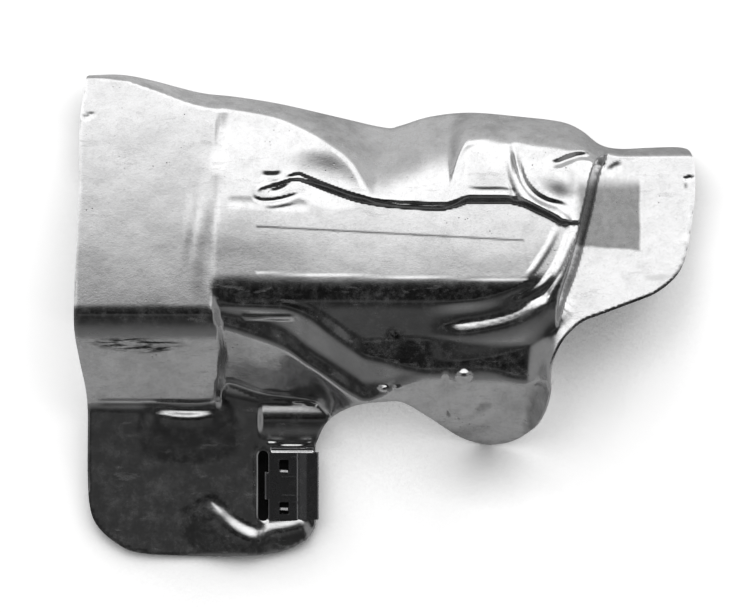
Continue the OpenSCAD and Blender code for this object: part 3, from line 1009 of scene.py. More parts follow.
@dataclass(frozen=True)
class BrightSheet:
    """Bright rolled sheet that has been handled: fine grain, smudges, scratches, pits and stains.

    Painted shade darkens it under the clip, and in a streak and a patch on the scoop.
    Places are on the drawing. A patch or rectangle gives its left, right, lower and upper side.
    """

    colour: Colour = (0.86, 0.86, 0.865, 1.0)
    grime: Colour = (0.3, 0.3, 0.3, 1.0)
    # Colour of stains, and of the painted shade under the clip
    stain_and_shade: Colour = (0.04, 0.04, 0.04, 1.0)
    # Painted shade: the colour of the darker patch on the scoop
    patch_shade: Colour = (0.3, 0.3, 0.3, 1.0)
    shaded: Colour = (0.5, 0.5, 0.5, 1.0)
    roughness: float = 0.15
    patch: tuple[float, float, float, float] = (158.0, 179.8, 97.0, 121.5)
    patch_soft: tuple[float, float, float, float] = (3.0, 1.2, 1.2, 5.0)
    patch_slant: float = 0.07
    patch_edge: Noise = Noise(5, 3, seed=21)
    patch_wander: float = 2.4
    patch_share: float = 0.75
    patch_cloud: float = 0.4
    patch_rough: float = 0.12
    # Painted shade: a darker streak on the scoop, in the shaded colour
    shade_streak: Oval = Oval((184.5, 89.0), (6.5, 1.6), 4, 0.8)
    shade_streak_share: float = 0.6
    smudge: Oval = Oval((20.0, 67.6), (19.0, 3.2), -3, 0.6)
    smudge_lines: Noise = Noise(3, 5, 0.7, (0.25, 1, 1), 11, (0.44, 0.6))
    scratch_lines: Noise = Noise(1.1, 2, 0.5, (0.05, 1.6, 1), 9, (0.54, 0.62))
    scratch_dirt: float = 0.5
    burn: Oval = Oval((101.0, 70.5), (5.0, 4.0), 0, 0.8)
    burn_flecks: Noise = Noise(1.6, 5, 0.7, seed=13, levels=(0.4, 0.62))
    # Painted shade: a near-black rectangle under the clip
    shade_under_clip: tuple[float, float, float, float] = (62.5, 74.0, 13.0, 32.0)
    shade_under_clip_soft: float = 0.3
    pit_spacing: float = 1.5
    pit_radius: float = 0.2
    pit_fields: Noise = Noise(9, 2, seed=5, levels=(0.5, 0.62))
    pit_dirt: float = 0.75
    pit_depth: float = 3.0
    dirt_and_shade_rough: float = 0.3
    soil: Noise = Noise(9, 7, 0.75, seed=31, levels=(0.38, 0.7))
    steep_levels: Point = (0.85, 0.5)
    flat_soil: float = 0.12
    steep_greying: float = 0.4
    dust: Noise = Noise(5, 7, 0.78, seed=41, levels=(0.42, 0.76))
    dust_share: float = 0.28
    scuffs: Noise = Noise(2.6, 3, 0.6, (0.25, 1, 1), 43, (0.6, 0.68))
    scuff_share: float = 0.2
    cloud: Noise = Noise(16, 2, 0.4, seed=3)
    cloud_levels: Point = (0.45, 0.75)
    cloud_grime: float = 0.1
    cloud_depth: float = 0.25
    fine_cloud: Noise = Noise(2.2, 4, 0.65, seed=7)
    fine_cloud_rough: float = 0.14
    mottle: Noise = Noise(1.3, 4, 0.7, seed=17)
    mottle_levels: Point = (0.5, 0.75)
    mottle_grime: float = 0.2
    mottle_depth: float = 1.6
    grain: Noise = Noise(0.35, 3, 0.6)
    grain_depth: float = 0.014

    @staticmethod
    def rectangle(board: NodeBoard, sides: tuple[float, float, float, float], soft: float) -> Signal:
        """Mark an upright rectangle of the drawing.

        Args:
            board: The material's nodes.
            sides: Its left, right, lower and upper side.
            soft: Width over which it fades.

        Returns:
            1 inside and 0 outside.
        """
        x, y, _ = board.axes()
        left, right, low, high = sides
        x, y = x - DRAWING.corner[0], y - DRAWING.corner[1]
        return (x.rise(left, left + soft) * x.rise(right, right - soft)
                * y.rise(low, low + soft) * y.rise(high, high - soft))

    def band(self, board: NodeBoard) -> Signal:
        """Mark the four-sided patch on the scoop, darker with painted shade and rougher.

        Args:
            board: The material's nodes.

        Returns:
            1 on the patch and 0 outside.
        """
        x, y, _ = board.axes()
        left, right, low, high = self.patch
        x = x - DRAWING.corner[0]
        y = y - DRAWING.corner[1]
        wander = (board.noise(self.patch_edge) - 0.5) * self.patch_wander
        slanted = y + (x - right) * self.patch_slant
        left_soft, right_soft, low_soft, high_soft = self.patch_soft
        across = (x + wander).rise(left, left + left_soft)
        across = across * (x + wander * 0.5).rise(right, right - right_soft)
        foot = (slanted + wander * 0.5).rise(low, low + low_soft)
        return across * foot * (y + wander).rise(high, high - high_soft)

    def dirt_and_shade(self, board: NodeBoard, pits: Signal) -> Signal:
        """Mark what darkens the sheet: smudge, scratches, burn, pits, and painted shade under the clip.

        Args:
            board: The material's nodes.
            pits: Where the pits are.

        Returns:
            The share of stains and painted shade.
        """
        area = board.oval(self.smudge)
        scratches = board.noise(self.scratch_lines) * area * self.scratch_dirt
        smudge = area * board.noise(self.smudge_lines)
        burn = board.oval(self.burn) * board.noise(self.burn_flecks)
        # Painted shade under the clip, seen through its windows
        clip_shade = self.rectangle(board, self.shade_under_clip, self.shade_under_clip_soft)
        return (smudge + burn + clip_shade + pits * self.pit_dirt + scratches).clamped()

    def grime_share(self, board: NodeBoard, cloud: Signal, mottle: Signal) -> Signal:
        """Give how grey the sheet is: grime in large and small patches, and greyer where it stands
        steep.

        Args:
            board: The material's nodes.
            cloud: Large soft noise.
            mottle: Small mottled noise.

        Returns:
            The share of grime.
        """
        geometry = board.add("ShaderNodeNewGeometry", {}, {})
        facing = board.add("ShaderNodeSeparateXYZ", {}, {0: geometry.outputs["Normal"]})
        steep = Signal(board, facing.outputs[2]).size().rise(*self.steep_levels)
        soil = board.noise(self.soil) * (self.flat_soil + steep * self.steep_greying)
        large = cloud.rise(*self.cloud_levels) * self.cloud_grime
        small = mottle.rise(*self.mottle_levels) * self.mottle_grime
        return (large + small + soil).clamped()

    def bare_share(self, board: NodeBoard) -> Signal:
        """Give how much bare metal shows through dust and scuffs.

        Args:
            board: The material's nodes.

        Returns:
            The share of bare metal.
        """
        dust = board.noise(self.dust) * self.dust_share
        scuffs = board.noise(self.scuffs) * self.scuff_share
        return (1 - (dust + scuffs)).clamped()

    def material(self) -> bpy.types.Material:
        """Build the material.

        Returns:
            The material.
        """
        board = NodeBoard(bpy.data.materials.new("bright_sheet"))
        grain = board.noise(self.grain)
        cloud = board.noise(self.cloud)
        fine_cloud = board.noise(self.fine_cloud)
        mottle = board.noise(self.mottle)
        pits = board.specks(self.pit_spacing, self.pit_radius, 1) * board.noise(self.pit_fields)
        dirt_and_shade = self.dirt_and_shade(board, pits)
        patch = self.band(board)
        # Painted shade: the patch on the scoop darkens the colour; its roughness is the finish's own
        patch_shade_share = (patch * (self.patch_share + fine_cloud * self.patch_cloud)).clamped()
        shade_streak = board.oval(self.shade_streak) * self.shade_streak_share
        colour = board.mix(self.grime_share(board, cloud, mottle), self.colour, self.grime)
        colour = board.mix(patch_shade_share, colour, self.patch_shade)
        # Painted shade: the streak on the scoop
        colour = board.mix(shade_streak, colour, self.shaded)
        # Stains, and painted shade under the clip
        colour = board.mix(dirt_and_shade, colour, self.stain_and_shade)
        rough = self.roughness + (fine_cloud - 0.5) * self.fine_cloud_rough
        rough = rough + patch * self.patch_rough + dirt_and_shade * self.dirt_and_shade_rough
        normal = board.bump(cloud, self.cloud_depth)
        relief = grain + mottle * self.mottle_depth - pits * self.pit_depth
        normal = board.bump(relief, self.grain_depth, normal)
        return board.principled({"Base Color": colour, "Metallic": self.bare_share(board),
                                 "Roughness": rough.clamped(), "Normal": normal})


@dataclass(frozen=True)
class SpringSteel:
    """Dark phosphated spring steel, paler where wear has rubbed its edges."""

    name: str = "spring_steel"
    colour: Colour = (0.3, 0.3, 0.31, 1.0)
    pale_steel: Colour = (0.6, 0.6, 0.61, 1.0)
    roughness: float = 0.3
    metal: float = 0.9
    patches: Noise = Noise(2.5, 5, 0.65, levels=(0.45, 0.7))
    patch_worn: float = 0.4
    patch_rough: float = 0.1
    edge_levels: Point = (0.515, 0.6)
    grain: Noise = Noise(0.3, 3, 0.6, seed=2)
    grain_rough: float = 0.2
    grain_depth: float = 0.02

    def material(self) -> bpy.types.Material:
        """Build the material.

        Returns:
            The material.
        """
        board = NodeBoard(bpy.data.materials.new(self.name))
        patches = board.noise(self.patches)
        grain = board.noise(self.grain)
        geometry = board.add("ShaderNodeNewGeometry", {}, {})
        edge = Signal(board, geometry.outputs["Pointiness"]).rise(*self.edge_levels)
        colour = board.mix((patches * self.patch_worn + edge).clamped(), self.colour, self.pale_steel)
        rough = self.roughness + (grain - 0.5) * self.grain_rough - patches * self.patch_rough
        return board.principled({"Base Color": colour, "Metallic": self.metal,
                                 "Roughness": rough.clamped(),
                                 "Normal": board.bump(grain, self.grain_depth)})


def add_mesh(name: str, points: Array, faces: Sequence[Sequence[int]], smooth_angle: float = 40.0
             ) -> bpy.types.Object:
    """Add a mesh whose points are on the drawing, in millimetres.

    Args:
        name: Name of the piece.
        points: Its points, one in each row.
        faces: The point numbers of each face.
        smooth_angle: Angle in degrees above which an edge stays sharp.

    Returns:
        The new object.
    """
    mesh = bpy.data.meshes.new(name)
    mesh.from_pydata(DRAWING.to_frame(points).tolist(), [], faces)
    mesh.shade_smooth()
    mesh.set_sharp_from_angle(angle=math.radians(smooth_angle))
    piece = bpy.data.objects.new(name, mesh)
    bpy.context.scene.collection.objects.link(piece)
    return piece


@dataclass
class HeatShield:
    """The stamped sheet, meshed finely enough for its folds, dents and cut edge to be real."""

    form: PressedForm
    sheet_t: float = SHEET_T
    pitch_x: Curve = (
        (0, 1.1), (48, 1.1), (52, 0.4), (74, 0.4), (78, 0.6), (168, 0.6), (174, 1.0), (200, 1.0))
    pitch_y: Curve = (
        (0, 1.1), (36, 1.0), (42, 0.75), (96, 0.75), (102, 0.45), (130, 0.45), (138, 0.7),
        (144, 1.0), (160, 1.0))
    outline_steps: int = 6
    snap: float = 0.3
    reach: float = 0.15
    rim_width: float = 0.95
    rim_drop: float = 0.38
    slot_w: float = 3.4
    slot_l: float = 22.6
    slot_middle: Point = SLOT_MIDDLE
    slot_steps: int = 12
    outline_points: Curve = (
        (3.2, 153.6), (13.4, 153.9), (23, 152.3), (39, 148.2), (50.2, 146.9), (64.6, 144.6),
        (83.8, 140.2), (98.2, 137), (103, 137.6), (112.6, 140.5), (125.4, 141.8), (141.4, 140.5),
        (154.2, 138.9), (160.6, 136.3), (167, 131.5), (173.4, 130.2), (183, 130.6), (193.3, 130.6),
        (196.2, 128), (197, 122.6), (196.8, 113.9), (195.2, 102.7), (193.6, 95.4), (191.4, 90.6),
        (187.8, 86.7), (183, 83.5), (176.6, 81), (167, 77.4), (160.6, 74.9), (155.8, 70.7),
        (152.6, 65.9), (150.4, 60.2), (150.1, 53.1), (148.2, 46.1), (144.6, 40.3), (138.2, 36.5),
        (130.2, 35.8), (122.2, 38.1), (112.6, 44.2), (104.6, 49), (99.8, 49.6), (90.2, 48.6),
        (83.8, 46.1), (79.3, 42.4), (76.8, 37.4), (76, 34.4), (76, 22.5), (76, 10.6), (75.8, 9.2),
        (75, 7.6), (73.4, 5.6), (71, 4), (67.8, 2.4), (62.1, 0.8), (51.8, 0), (39, 0), (19.8, 1),
        (11.8, 4.5), (6.1, 9.9), (3.8, 16.3), (3.2, 27.5), (3.2, 49.9), (1.3, 62.7), (0, 72.3),
        (0, 85.1), (0.6, 101.1), (1, 120.3), (1, 136.3), (1.9, 145.9))

    def region(self) -> Region:
        """Draw the outline and the slot.

        Returns:
            The region of metal.
        """
        outline = smooth_path(self.outline_points, self.outline_steps, closed=True, sharp=(0,))
        radius = self.slot_w / 2
        run = self.slot_l / 2 - radius
        slot = []
        for end, first_angle in ((run, 0.0), (-run, 180.0)):
            for step in range(self.slot_steps + 1):
                angle = math.radians(first_angle + 180 * step / self.slot_steps)
                slot.append((self.slot_middle[0] + radius * math.cos(angle),
                             self.slot_middle[1] + end + radius * math.sin(angle)))
        return Region(outline, np.array(slot))

    @staticmethod
    def lines(low: float, high: float, pitch: Curve) -> Array:
        """Space out the grid's lines, closer together where the form has more detail.

        Args:
            low: Where the metal starts.
            high: Where it ends.
            pitch: Spacing of the lines over their place.

        Returns:
            The places of the lines.
        """
        places = [low - pitch[0][1] / 2]
        while places[-1] < high:
            places.append(places[-1] + float(read_curve(np.float64(places[-1]), pitch)))
        return np.array(places)

    def grid(self) -> tuple[Array, Array, Array]:
        """Lay a grid over the metal, with points that lie close to a cut edge moved onto it.

        Returns:
            The two coordinates of its points, and how far each lies inside the metal.
        """
        region = self.region()
        low, high = region.outline.min(0), region.outline.max(0)
        x, y = np.meshgrid(self.lines(low[0], high[0], self.pitch_x),
                           self.lines(low[1], high[1], self.pitch_y), indexing="ij")
        gap, near_x, near_y = (value.reshape(x.shape) for value in region.nearest(x.ravel(), y.ravel()))
        along_x, along_y = np.abs(near_x - x), np.abs(near_y - y)
        pitch = along_x * read_curve(x, self.pitch_x) + along_y * read_curve(y, self.pitch_y)
        on_edge = np.abs(gap) * np.hypot(along_x, along_y) < self.snap * pitch
        return np.where(on_edge, near_x, x), np.where(on_edge, near_y, y), np.where(on_edge, 0, gap)

    @staticmethod
    def split(corners: Array, z: Array) -> Array:
        """Split each filled cell of the grid into two triangles, along its flatter diagonal.

        Args:
            corners: Four point numbers of each cell, anticlockwise as seen from above.
            z: Height of each point.

        Returns:
            The triangles' point numbers.
        """
        a, b, c, d = corners.T
        flat = np.abs(z[a] - z[c]) <= np.abs(z[b] - z[d])
        parts = [(a, b, c, flat), (a, c, d, flat), (a, b, d, ~flat), (b, c, d, ~flat)]
        return np.vstack([np.column_stack([p[use], q[use], r[use]]) for p, q, r, use in parts])

    @staticmethod
    def trim(cells: list[list[int]], gap: Array
             ) -> tuple[list[tuple[int, int, int]], list[tuple[int, int]]]:
        """Cut the cells that straddle an edge, and keep the part inside the metal.

        Args:
            cells: Four point numbers of each cell.
            gap: How far each point lies inside the metal.

        Returns:
            The triangles that are kept, and the pairs of points between which the new points lie,
            numbered on from the grid's own points.
        """
        crossings: dict[tuple[int, int], int] = {}
        triangles = []
        for cell in cells:
            loop = []
            for a, b in zip(cell, cell[1:] + cell[:1]):
                if gap[a] >= 0:
                    loop.append(a)
                if gap[a] * gap[b] < 0:
                    loop.append(crossings.setdefault((min(a, b), max(a, b)), len(gap) + len(crossings)))
            triangles += [(loop[0], p, q) for p, q in zip(loop[1:-1], loop[2:])]
        return triangles, list(crossings)

    def net(self) -> tuple[Array, Array, Array]:
        """Cover the metal with triangles that end cleanly at its cut edges.

        Returns:
            The two coordinates of the net's points, and its triangles' point numbers.
        """
        x, y, gap = self.grid()
        numbers = np.arange(x.size).reshape(x.shape)
        corners = np.stack([numbers[:-1, :-1], numbers[1:, :-1], numbers[1:, 1:], numbers[:-1, 1:]],
                           axis=-1).reshape(-1, 4)
        x, y, gap = x.ravel(), y.ravel(), gap.ravel()
        inside = gap[corners] >= 0
        full = self.split(corners[inside.all(1)], self.form.height(x, y))
        trimmed, crossed = self.trim(corners[inside.any(1) & ~inside.all(1)].tolist(), gap)
        a, b = np.array(crossed).T
        share = gap[a] / (gap[a] - gap[b])
        cut_x, cut_y = x[a] + share * (x[b] - x[a]), y[a] + share * (y[b] - y[a])
        _, new_x, new_y = self.region().nearest(cut_x, cut_y)
        used, triangles = np.unique(np.vstack([full, trimmed]), return_inverse=True)
        x, y = np.append(x, new_x)[used], np.append(y, new_y)[used]
        return x, y, triangles.reshape(-1, 3)

    @staticmethod
    def open_edges(triangles: Array) -> Array:
        """Find the sides that only one triangle has, in its own direction.

        Args:
            triangles: The triangles' point numbers.

        Returns:
            The two point numbers of each such side.
        """
        sides = np.vstack([triangles[:, [0, 1]], triangles[:, [1, 2]], triangles[:, [2, 0]]])
        known = {(int(a), int(b)) for a, b in sides}
        return np.array([(a, b) for a, b in known if (b, a) not in known])

    def rim_fall(self, x: Array, y: Array) -> Array:
        """Give how far the sheet's edge turns down at each point."""
        gap, _, _ = self.region().nearest(x, y)
        return self.rim_drop * np.clip(1 - gap / self.rim_width, 0, 1) ** 2

    def skins(self) -> tuple[Array, Array, Array, Array]:
        """Work out the upper and the lower skin.

        Returns:
            The points of the upper skin, its normals, the points of the lower skin, and the upper
            skin's triangles.
        """
        x, y, triangles = self.net()
        fall = self.rim_fall(x, y)
        z = self.form.height(x, y) - fall
        slopes = []
        turned = fall > 0
        for dx, dy in ((self.reach, 0), (0, self.reach)):
            rise = self.form.height(x + dx, y + dy) - self.form.height(x - dx, y - dy)
            rim_x, rim_y = x[turned], y[turned]
            rise[turned] -= self.rim_fall(rim_x + dx, rim_y + dy) - self.rim_fall(rim_x - dx, rim_y - dy)
            slopes.append(rise / (2 * self.reach))
        normals = np.column_stack([-slopes[0], -slopes[1], np.ones(x.shape)])
        normals /= np.linalg.norm(normals, axis=1)[:, None]
        upper = np.column_stack([x, y, z])
        return upper, normals, upper - self.sheet_t * normals, triangles

    @staticmethod
    def set_normals(mesh: bpy.types.Mesh, normals: Array) -> None:
        """Give the skins the form's own normals, and leave the cut edge's faces flat.

        Args:
            mesh: The sheet's mesh.
            normals: Normal at each of its points.
        """
        corners = np.zeros(len(mesh.loops), int)
        mesh.loops.foreach_get("vertex_index", corners)
        sides = np.zeros(len(mesh.polygons), int)
        mesh.polygons.foreach_get("loop_total", sides)
        flat = np.zeros(len(mesh.polygons) * 3)
        mesh.polygons.foreach_get("normal", flat)
        on_cut = np.repeat(sides == 4, sides)
        flat = np.repeat(flat.reshape(-1, 3), sides, axis=0)
        per_corner = np.where(on_cut[:, None], flat, normals[corners])
        mesh.normals_split_custom_set(per_corner.tolist())

    def mesh(self) -> bpy.types.Object:
        """Build the closed sheet: two skins with a cut edge between them.

        Returns:
            The new object.
        """
        upper, normals, lower, triangles = self.skins()
        count = len(upper)
        edges = self.open_edges(triangles)
        walls = [(b, a, a + count, b + count) for a, b in edges.tolist()]
        faces = triangles.tolist() + (triangles[:, ::-1] + count).tolist() + walls
        piece = add_mesh("stamped_sheet", np.vstack([upper, lower]), faces)
        self.set_normals(piece.data, np.vstack([normals, -normals]))
        return piece

    def build(self, finish: BrightSheet) -> list[bpy.types.Object]:
        """Build and dress the sheet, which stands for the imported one.

        Args:
            finish: The sheet's finish.

        Returns:
            The one piece, in a list.
        """
        sheet = self.mesh()
        sheet.data.materials.append(finish.material())
        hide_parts("heat_shield")
        return [sheet]


@dataclass
class SpringClip:
    """The push-on clip: one strip folded round the tab's edge, with cut windows, tongues and a hook.

    Its own frame has X = 0 at the tab's edge, Y along that edge and Z = 0 on the sheet's upper face.
    """

    length: float = 21.4
    strip_t: float = 0.6
    gap: float = 0.05
    leg_end: float = -14.8
    leg_bend: float = -12.3
    leg_rise: float = 0.45
    bow_start: float = -5.5
    bow_top: float = -2.4
    bow_out: float = 1.0
    bow_rise: float = 1.2
    under_leg: float = 11.0
    hook_l: float = 8.6
    hook_drop: float = 2.0
    hook_reach: float = 0.8
    edge_x: float = 76.0
    middle_y: float = SLOT_MIDDLE[1]
    bend_steps: int = 5
    bend_radius: float = 0.45
    bevel: float = 0.09
    bevel_angle: float = 60.0
    piece_l: float = 0.3
    columns: int = 86
    plate_columns: int = 8
    bead_half: float = 0.45
    bead_run: float = 0.8
    bow_foot: float = 0.6
    hook_lap: float = 0.05
    tongue_rise: Point = (0.5, 1.1)
    tongue_lift: float = -0.35
    windows: tuple[tuple[float, float, float, float], ...] = (
        (-11.7, -8.6, 4.2, 8.4), (-11.7, -8.6, -9.0, -5.2))
    tongues: tuple[tuple[float, float, float, float], ...] = (
        (-11.5, -8.7, 4.3, 5.1), (-11.5, -8.7, -7.9, -7.0))
    beads: tuple[tuple[float, float, float, float], ...] = (
        (-11.6, -6.0, 2.75, 0.16), (-11.4, -5.8, -3.2, 0.18), (-8.2, -5.6, -5.3, 0.14),
        (-10.3, -8.6, -1.2, 0.14), (-8.6, -5.7, 9.2, 0.16))

    def profile(self) -> Array:
        """Run the middle of the strip from its upper leg's end round the bow to its under leg's end.

        Returns:
            Its points in X and Z.
        """
        half = self.strip_t / 2
        top = self.gap + half
        bow = top + self.bow_rise
        out = self.bow_out - half
        under = -SHEET_T - self.gap - half
        raised = top + self.leg_rise
        return self.rounded([(self.leg_end, top), (self.leg_bend, raised),
                             (self.bow_start - self.bow_foot, raised), (self.bow_start, top),
                             (self.bow_top, bow), (out, bow), (out, under), (-self.under_leg, under)])

    def rounded(self, corners: list[Point]) -> Array:
        """Round the bends of a line, and space its points out finely.

        Args:
            corners: The line's corners.

        Returns:
            Its points, with round bends.
        """
        knots = np.array(corners, float)
        path = [knots[0]]
        for before, bend, after in zip(knots, knots[1:], knots[2:]):
            to_before, to_after = before - bend, after - bend
            trim = min(self.bend_radius, np.hypot(*to_before) / 2, np.hypot(*to_after) / 2)
            start = bend + to_before / np.hypot(*to_before) * trim
            end = bend + to_after / np.hypot(*to_after) * trim
            for t in np.linspace(0, 1, self.bend_steps):
                path.append((1 - t) ** 2 * start + 2 * t * (1 - t) * bend + t * t * end)
        path.append(knots[-1])
        fine = [path[0]]
        for a, b in zip(path, path[1:]):
            pieces = max(1, math.ceil(np.hypot(*(b - a)) / self.piece_l))
            fine += [a + (b - a) * k / pieces for k in range(1, pieces + 1)]
        return np.array(fine)

    def raised(self, x: float, y: float) -> float:
        """Give the height of the stiffening beads on the upper leg.

        Args:
            x: Place in X, in the clip's own frame.
            y: Place in Y, in the clip's own frame.

        Returns:
            The height of the beads there.
        """
        rise = 0.0
        for low, high, bead_y, height in self.beads:
            share = min(abs(y - bead_y) / self.bead_half, 1)
            start = ease(low, low + self.bead_run, np.float64(x))
            end = ease(high, high - self.bead_run, np.float64(x))
            rise += height * (1 - share**2) ** 2 * float(start * end)
        return rise

    def is_cut(self, x: float, y: float, upper: bool) -> bool:
        """Tell whether a window is cut out of the strip at this place."""
        return upper and any(a < x < b and c < y < d for a, b, c, d in self.windows)

    def strip(self) -> bpy.types.Object:
        """Build the folded strip, with its windows left open.

        Returns:
            The new object.
        """
        path = self.profile()
        ys = np.linspace(-self.length / 2, self.length / 2, self.columns)
        points = []
        for x, z in path:
            on_top = z > self.gap
            for y in ys:
                points.append((x, y, z + (self.raised(x, y) if on_top else 0)))
        faces = []
        for i, (a, b) in enumerate(zip(path, path[1:])):
            for j in range(self.columns - 1):
                if not self.is_cut((a[0] + b[0]) / 2, (ys[j] + ys[j + 1]) / 2, a[1] > self.gap):
                    k = i * self.columns + j
                    faces.append((k, k + self.columns, k + self.columns + 1, k + 1))
        return self.plate("clip_strip", points, faces)

    def plate(self, name: str, points: list[tuple[float, float, float]],
              faces: list[tuple[int, ...]]) -> bpy.types.Object:
        """Thicken a bent surface to the strip's thickness, and round its cut edges.

        Args:
            name: Name of the piece.
            points: Points of the surface, in the clip's own frame.
            faces: The point numbers of each face.

        Returns:
            The new object.
        """
        used = sorted({corner for face in faces for corner in face})
        number = {old: new for new, old in enumerate(used)}
        placed = self.on_seat(np.array([points[old] for old in used]))
        piece = add_mesh(name, placed, [[number[corner] for corner in face] for face in faces])
        solid = piece.modifiers.new("thickness", "SOLIDIFY")
        solid.thickness = self.strip_t * MM
        solid.offset = 0
        bevel = piece.modifiers.new("edge", "BEVEL")
        bevel.width = self.bevel * MM
        bevel.segments = 2
        bevel.limit_method = "ANGLE"
        bevel.angle_limit = math.radians(self.bevel_angle)
        return piece

    def on_seat(self, points: Array) -> Array:
        """Move points from the clip's own frame to the drawing, tilted with the flange.

        Args:
            points: Points in the clip's own frame, one in each row.

        Returns:
            The same points on the drawing.
        """
        tilt = math.atan(FORM.flange_slope)
        across, up = points[:, 1], points[:, 2]
        seat_z = FORM.flange_low + FORM.flange_slope * self.middle_y
        y = self.middle_y + across * math.cos(tilt) - up * math.sin(tilt)
        z = seat_z + across * math.sin(tilt) + up * math.cos(tilt)
        return np.column_stack([self.edge_x + points[:, 0], y, z])

    def bent_plate(self, name: str, line: list[Point], low: float, high: float,
                   lift: float = 0.0) -> bpy.types.Object:
        """Build a small bent plate.

        Args:
            name: Name of the piece.
            line: Corners of the line in X and Z that it runs along.
            low: Place in Y of its one side.
            high: Place in Y of its other side.
            lift: How much higher the other side lies.

        Returns:
            The new object.
        """
        path = self.rounded(line)
        columns = self.plate_columns
        ys = np.linspace(low, high, columns)
        points = [(x, y, z + lift * (y - low) / (high - low)) for x, z in path for y in ys]
        faces = [(i * columns + j, (i + 1) * columns + j, (i + 1) * columns + j + 1, i * columns + j + 1)
                 for i in range(len(path) - 1) for j in range(columns - 1)]
        return self.plate(name, points, faces)

    def build(self, finish: SpringSteel, pale_steel: SpringSteel) -> list[bpy.types.Object]:
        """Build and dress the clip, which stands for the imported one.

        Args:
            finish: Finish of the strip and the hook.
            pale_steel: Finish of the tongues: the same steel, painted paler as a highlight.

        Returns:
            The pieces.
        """
        top = self.gap + self.strip_t / 2
        hook_x = self.leg_end - self.hook_reach - self.strip_t / 2
        hook = [(self.leg_end + self.hook_lap, top), (hook_x, top), (hook_x, -self.hook_drop)]
        pieces = [self.strip(), self.bent_plate("clip_hook", hook, -self.hook_l / 2, self.hook_l / 2)]
        dark = finish.material()
        # Painted highlight: the tongues take a paler copy of the same steel
        bright = pale_steel.material()
        materials = [dark, dark, bright, bright]
        middle_rise, end_rise = self.tongue_rise
        for index, (a, b, low, high) in enumerate(self.tongues):
            line = [(a, top), ((a + b) / 2, top + middle_rise), (b, top + end_rise)]
            pieces.append(self.bent_plate(f"clip_tongue_{index + 1}", line, low, high, self.tongue_lift))
        for piece, material in zip(pieces, materials):
            piece.data.materials.append(material)
            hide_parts("spring_clip")
        return pieces


class Tone(Enum):
    """Brightness of the studio's parts: what the sheet mirrors, and the floor as the camera sees it."""

    LENS = 0.003
    CEILING = 0.012
    HIGH_WALL = 0.03
    WALL = 0.09
    LOW_WALL = 0.15
    HORIZON = 0.3
    BACK_CEILING = 0.04
    SIDE_WALL = 0.24
    FLOOR = 0.88
    MIRRORED_FLOOR = 0.1
    MIRRORED_STRIP = 0.3
    SOFTBOX = 1.27


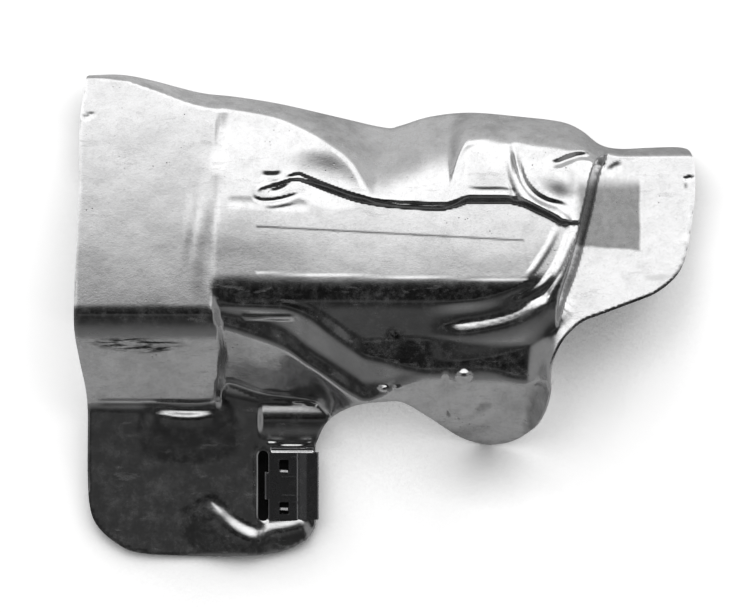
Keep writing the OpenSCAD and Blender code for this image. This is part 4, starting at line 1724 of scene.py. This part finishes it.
@dataclass
class Studio:
    """A pale floor, a dark ceiling with one soft graded light, and a camera that looks down."""

    light_start: Point = (23.5, 46.0)
    light_end: Point = (72.0, 98.0)
    light_sides: Point = (0.85, 0.55)
    side_wall: Point = (0.55, 0.9)
    back_ceiling: Point = (-2.0, -9.0)
    camera_height: float = 2.6
    shadow_reach: float = 0.08
    edge_reach: float = 0.022
    shadow_tilt: float = math.radians(15)
    strip_start: Point = (55.0, 85.0)
    open_wide: Point = (0.44, 0.78)
    open_narrow: Point = (0.6, 0.985)
    narrow_share: float = 0.75
    dark_share: Point = (0.02, 0.0)
    slot_shadow: Oval = Oval(SLOT_MIDDLE, (8.0, 17.0), soft=0.3)
    shadow_samples: int = 4
    floor_colour: Colour = (0.8, 0.8, 0.8, 1.0)
    black_colour: Colour = (0.01, 0.01, 0.01, 1.0)
    floor_rough: float = 0.9
    floor_grain: Noise = Noise(1.5, 2)
    floor_depth: float = 0.02
    floor_half: float = 6.0
    back_height: Point = (0.9, 0.97)
    image: tuple[int, int] = (753, 613)
    mm_a_pixel: float = 0.32
    image_middle: Point = (95.5, 79.8)
    sensor_width: float = 36.0

    def floor(self) -> bpy.types.Object:
        """Lay the floor: white to the camera but for soft shadows, and dark as the sheet mirrors it.

        Returns:
            The floor.
        """
        half = self.floor_half
        mesh = bpy.data.meshes.new("floor")
        mesh.from_pydata([(-half, -half, 0), (half, -half, 0), (half, half, 0), (-half, half, 0)],
                         [], [(0, 1, 2, 3)])
        floor = bpy.data.objects.new("floor", mesh)
        bpy.context.scene.collection.objects.link(floor)
        board = NodeBoard(bpy.data.materials.new("pale_floor"))
        ray = board.add("ShaderNodeLightPath", {}, {})
        seen, glossy, through = (Signal(board, ray.outputs[name]) for name in (
            "Is Camera Ray", "Is Glossy Ray", "Is Transmission Ray"))
        grain = board.noise(self.floor_grain)
        to_light = (0.0, math.cos(self.shadow_tilt), math.sin(self.shadow_tilt))
        facing = board.add("ShaderNodeCombineXYZ", {}, {axis: to_light[axis] for axis in range(3)})
        wide, narrow = (
            Signal(board, board.add("ShaderNodeAmbientOcclusion", {"samples": self.shadow_samples},
                                    {"Distance": reach, "Normal": facing.outputs[0]}).outputs["AO"])
            for reach in (self.shadow_reach, self.edge_reach))
        near_open = (1 - self.narrow_share) + narrow.rise(*self.open_narrow) * self.narrow_share
        open_share = wide.rise(*self.open_wide) * near_open
        open_share = open_share * (1 - board.oval(self.slot_shadow))
        _, y, _ = board.axes()
        strip = y.rise(*self.strip_start) * (Tone.MIRRORED_STRIP.value - Tone.MIRRORED_FLOOR.value)
        mirrored = glossy * (strip + Tone.MIRRORED_FLOOR.value)
        glow = (seen + through) * Tone.FLOOR.value * open_share + mirrored
        black = open_share.rise(*self.dark_share)
        colour = board.mix(black, self.floor_colour, self.black_colour)
        floor.data.materials.append(board.principled({
            "Base Color": colour, "Roughness": self.floor_rough, "Emission Color": glow,
            "Emission Strength": 1.0, "Normal": board.bump(grain, self.floor_depth)}))
        return floor

    def world(self) -> None:
        """Surround the object with a dark ceiling, paler walls and a graded light past its top wall."""
        world = bpy.data.worlds.new("studio")
        bpy.context.scene.world = world
        board = NodeBoard(world, "ShaderNodeOutputWorld")
        coordinates = board.add("ShaderNodeTexCoord", {}, {})
        split = board.add("ShaderNodeSeparateXYZ", {}, {0: coordinates.outputs["Generated"]})
        x, y, z = (Signal(board, output) for output in split.outputs)
        stops = ((0.0, Tone.HORIZON), (0.1, Tone.LOW_WALL), (0.45, Tone.WALL), (0.7, Tone.HIGH_WALL),
                 (0.985, Tone.CEILING), (1.0, Tone.LENS))
        ramp = board.add("ShaderNodeValToRGB", {"stops": [
            (height, (tone.value, tone.value, tone.value, 1)) for height, tone in stops]}, {0: z})
        lean = y.angle_from(z)
        light = lean.rise(*self.light_start) * lean.rise(*reversed(self.light_end))
        light = light * x.size().rise(*self.light_sides)
        grey = {tone: (tone.value, tone.value, tone.value, 1) for tone in Tone}
        back = lean.rise(*self.back_ceiling) * z.rise(*self.back_height)
        colour = board.mix(back, ramp.outputs[0], grey[Tone.BACK_CEILING])
        colour = board.mix(x.size().rise(*self.side_wall), colour, grey[Tone.SIDE_WALL])
        colour = board.mix(light, colour, grey[Tone.SOFTBOX])
        shader = board.add("ShaderNodeBackground", {}, {0: colour})
        board.tree.links.new(shader.outputs[0], board.output.inputs[0])

    def camera(self) -> bpy.types.Object:
        """Put the camera straight above the middle of the picture.

        Returns:
            The camera.
        """
        middle = DRAWING.to_frame(np.array([[*self.image_middle, 0.0]]))[0]
        data = bpy.data.cameras.new("camera")
        view_width = self.image[0] * self.mm_a_pixel * MM
        data.sensor_width = self.sensor_width
        data.lens = self.sensor_width * self.camera_height / view_width
        camera = bpy.data.objects.new("camera", data)
        camera.location = (middle[0], middle[1], self.camera_height)
        bpy.context.scene.collection.objects.link(camera)
        bpy.context.scene.camera = camera
        return camera

    def build(self) -> None:
        """Set up the whole studio."""
        bpy.context.scene.view_settings.view_transform = "Standard"
        self.world()
        self.floor()
        self.camera()


def main() -> None:
    """Build every sub-assembly in order and report each piece."""
    logging.basicConfig(level=logging.INFO, format="%(name)s: %(message)s")
    Studio().build()
    # Painted highlight: a paler copy of the spring steel, for the clip's tongues
    pale_steel = SpringSteel("painted_highlight_steel", (0.7, 0.7, 0.71, 1.0))
    pieces = HeatShield(FORM).build(BrightSheet()) + SpringClip().build(SpringSteel(), pale_steel)
    for piece in pieces:
        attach(piece, "root")
        LOG.info("%s: %d faces", piece.name, len(piece.data.polygons))


if __name__ == "__main__":
    main()
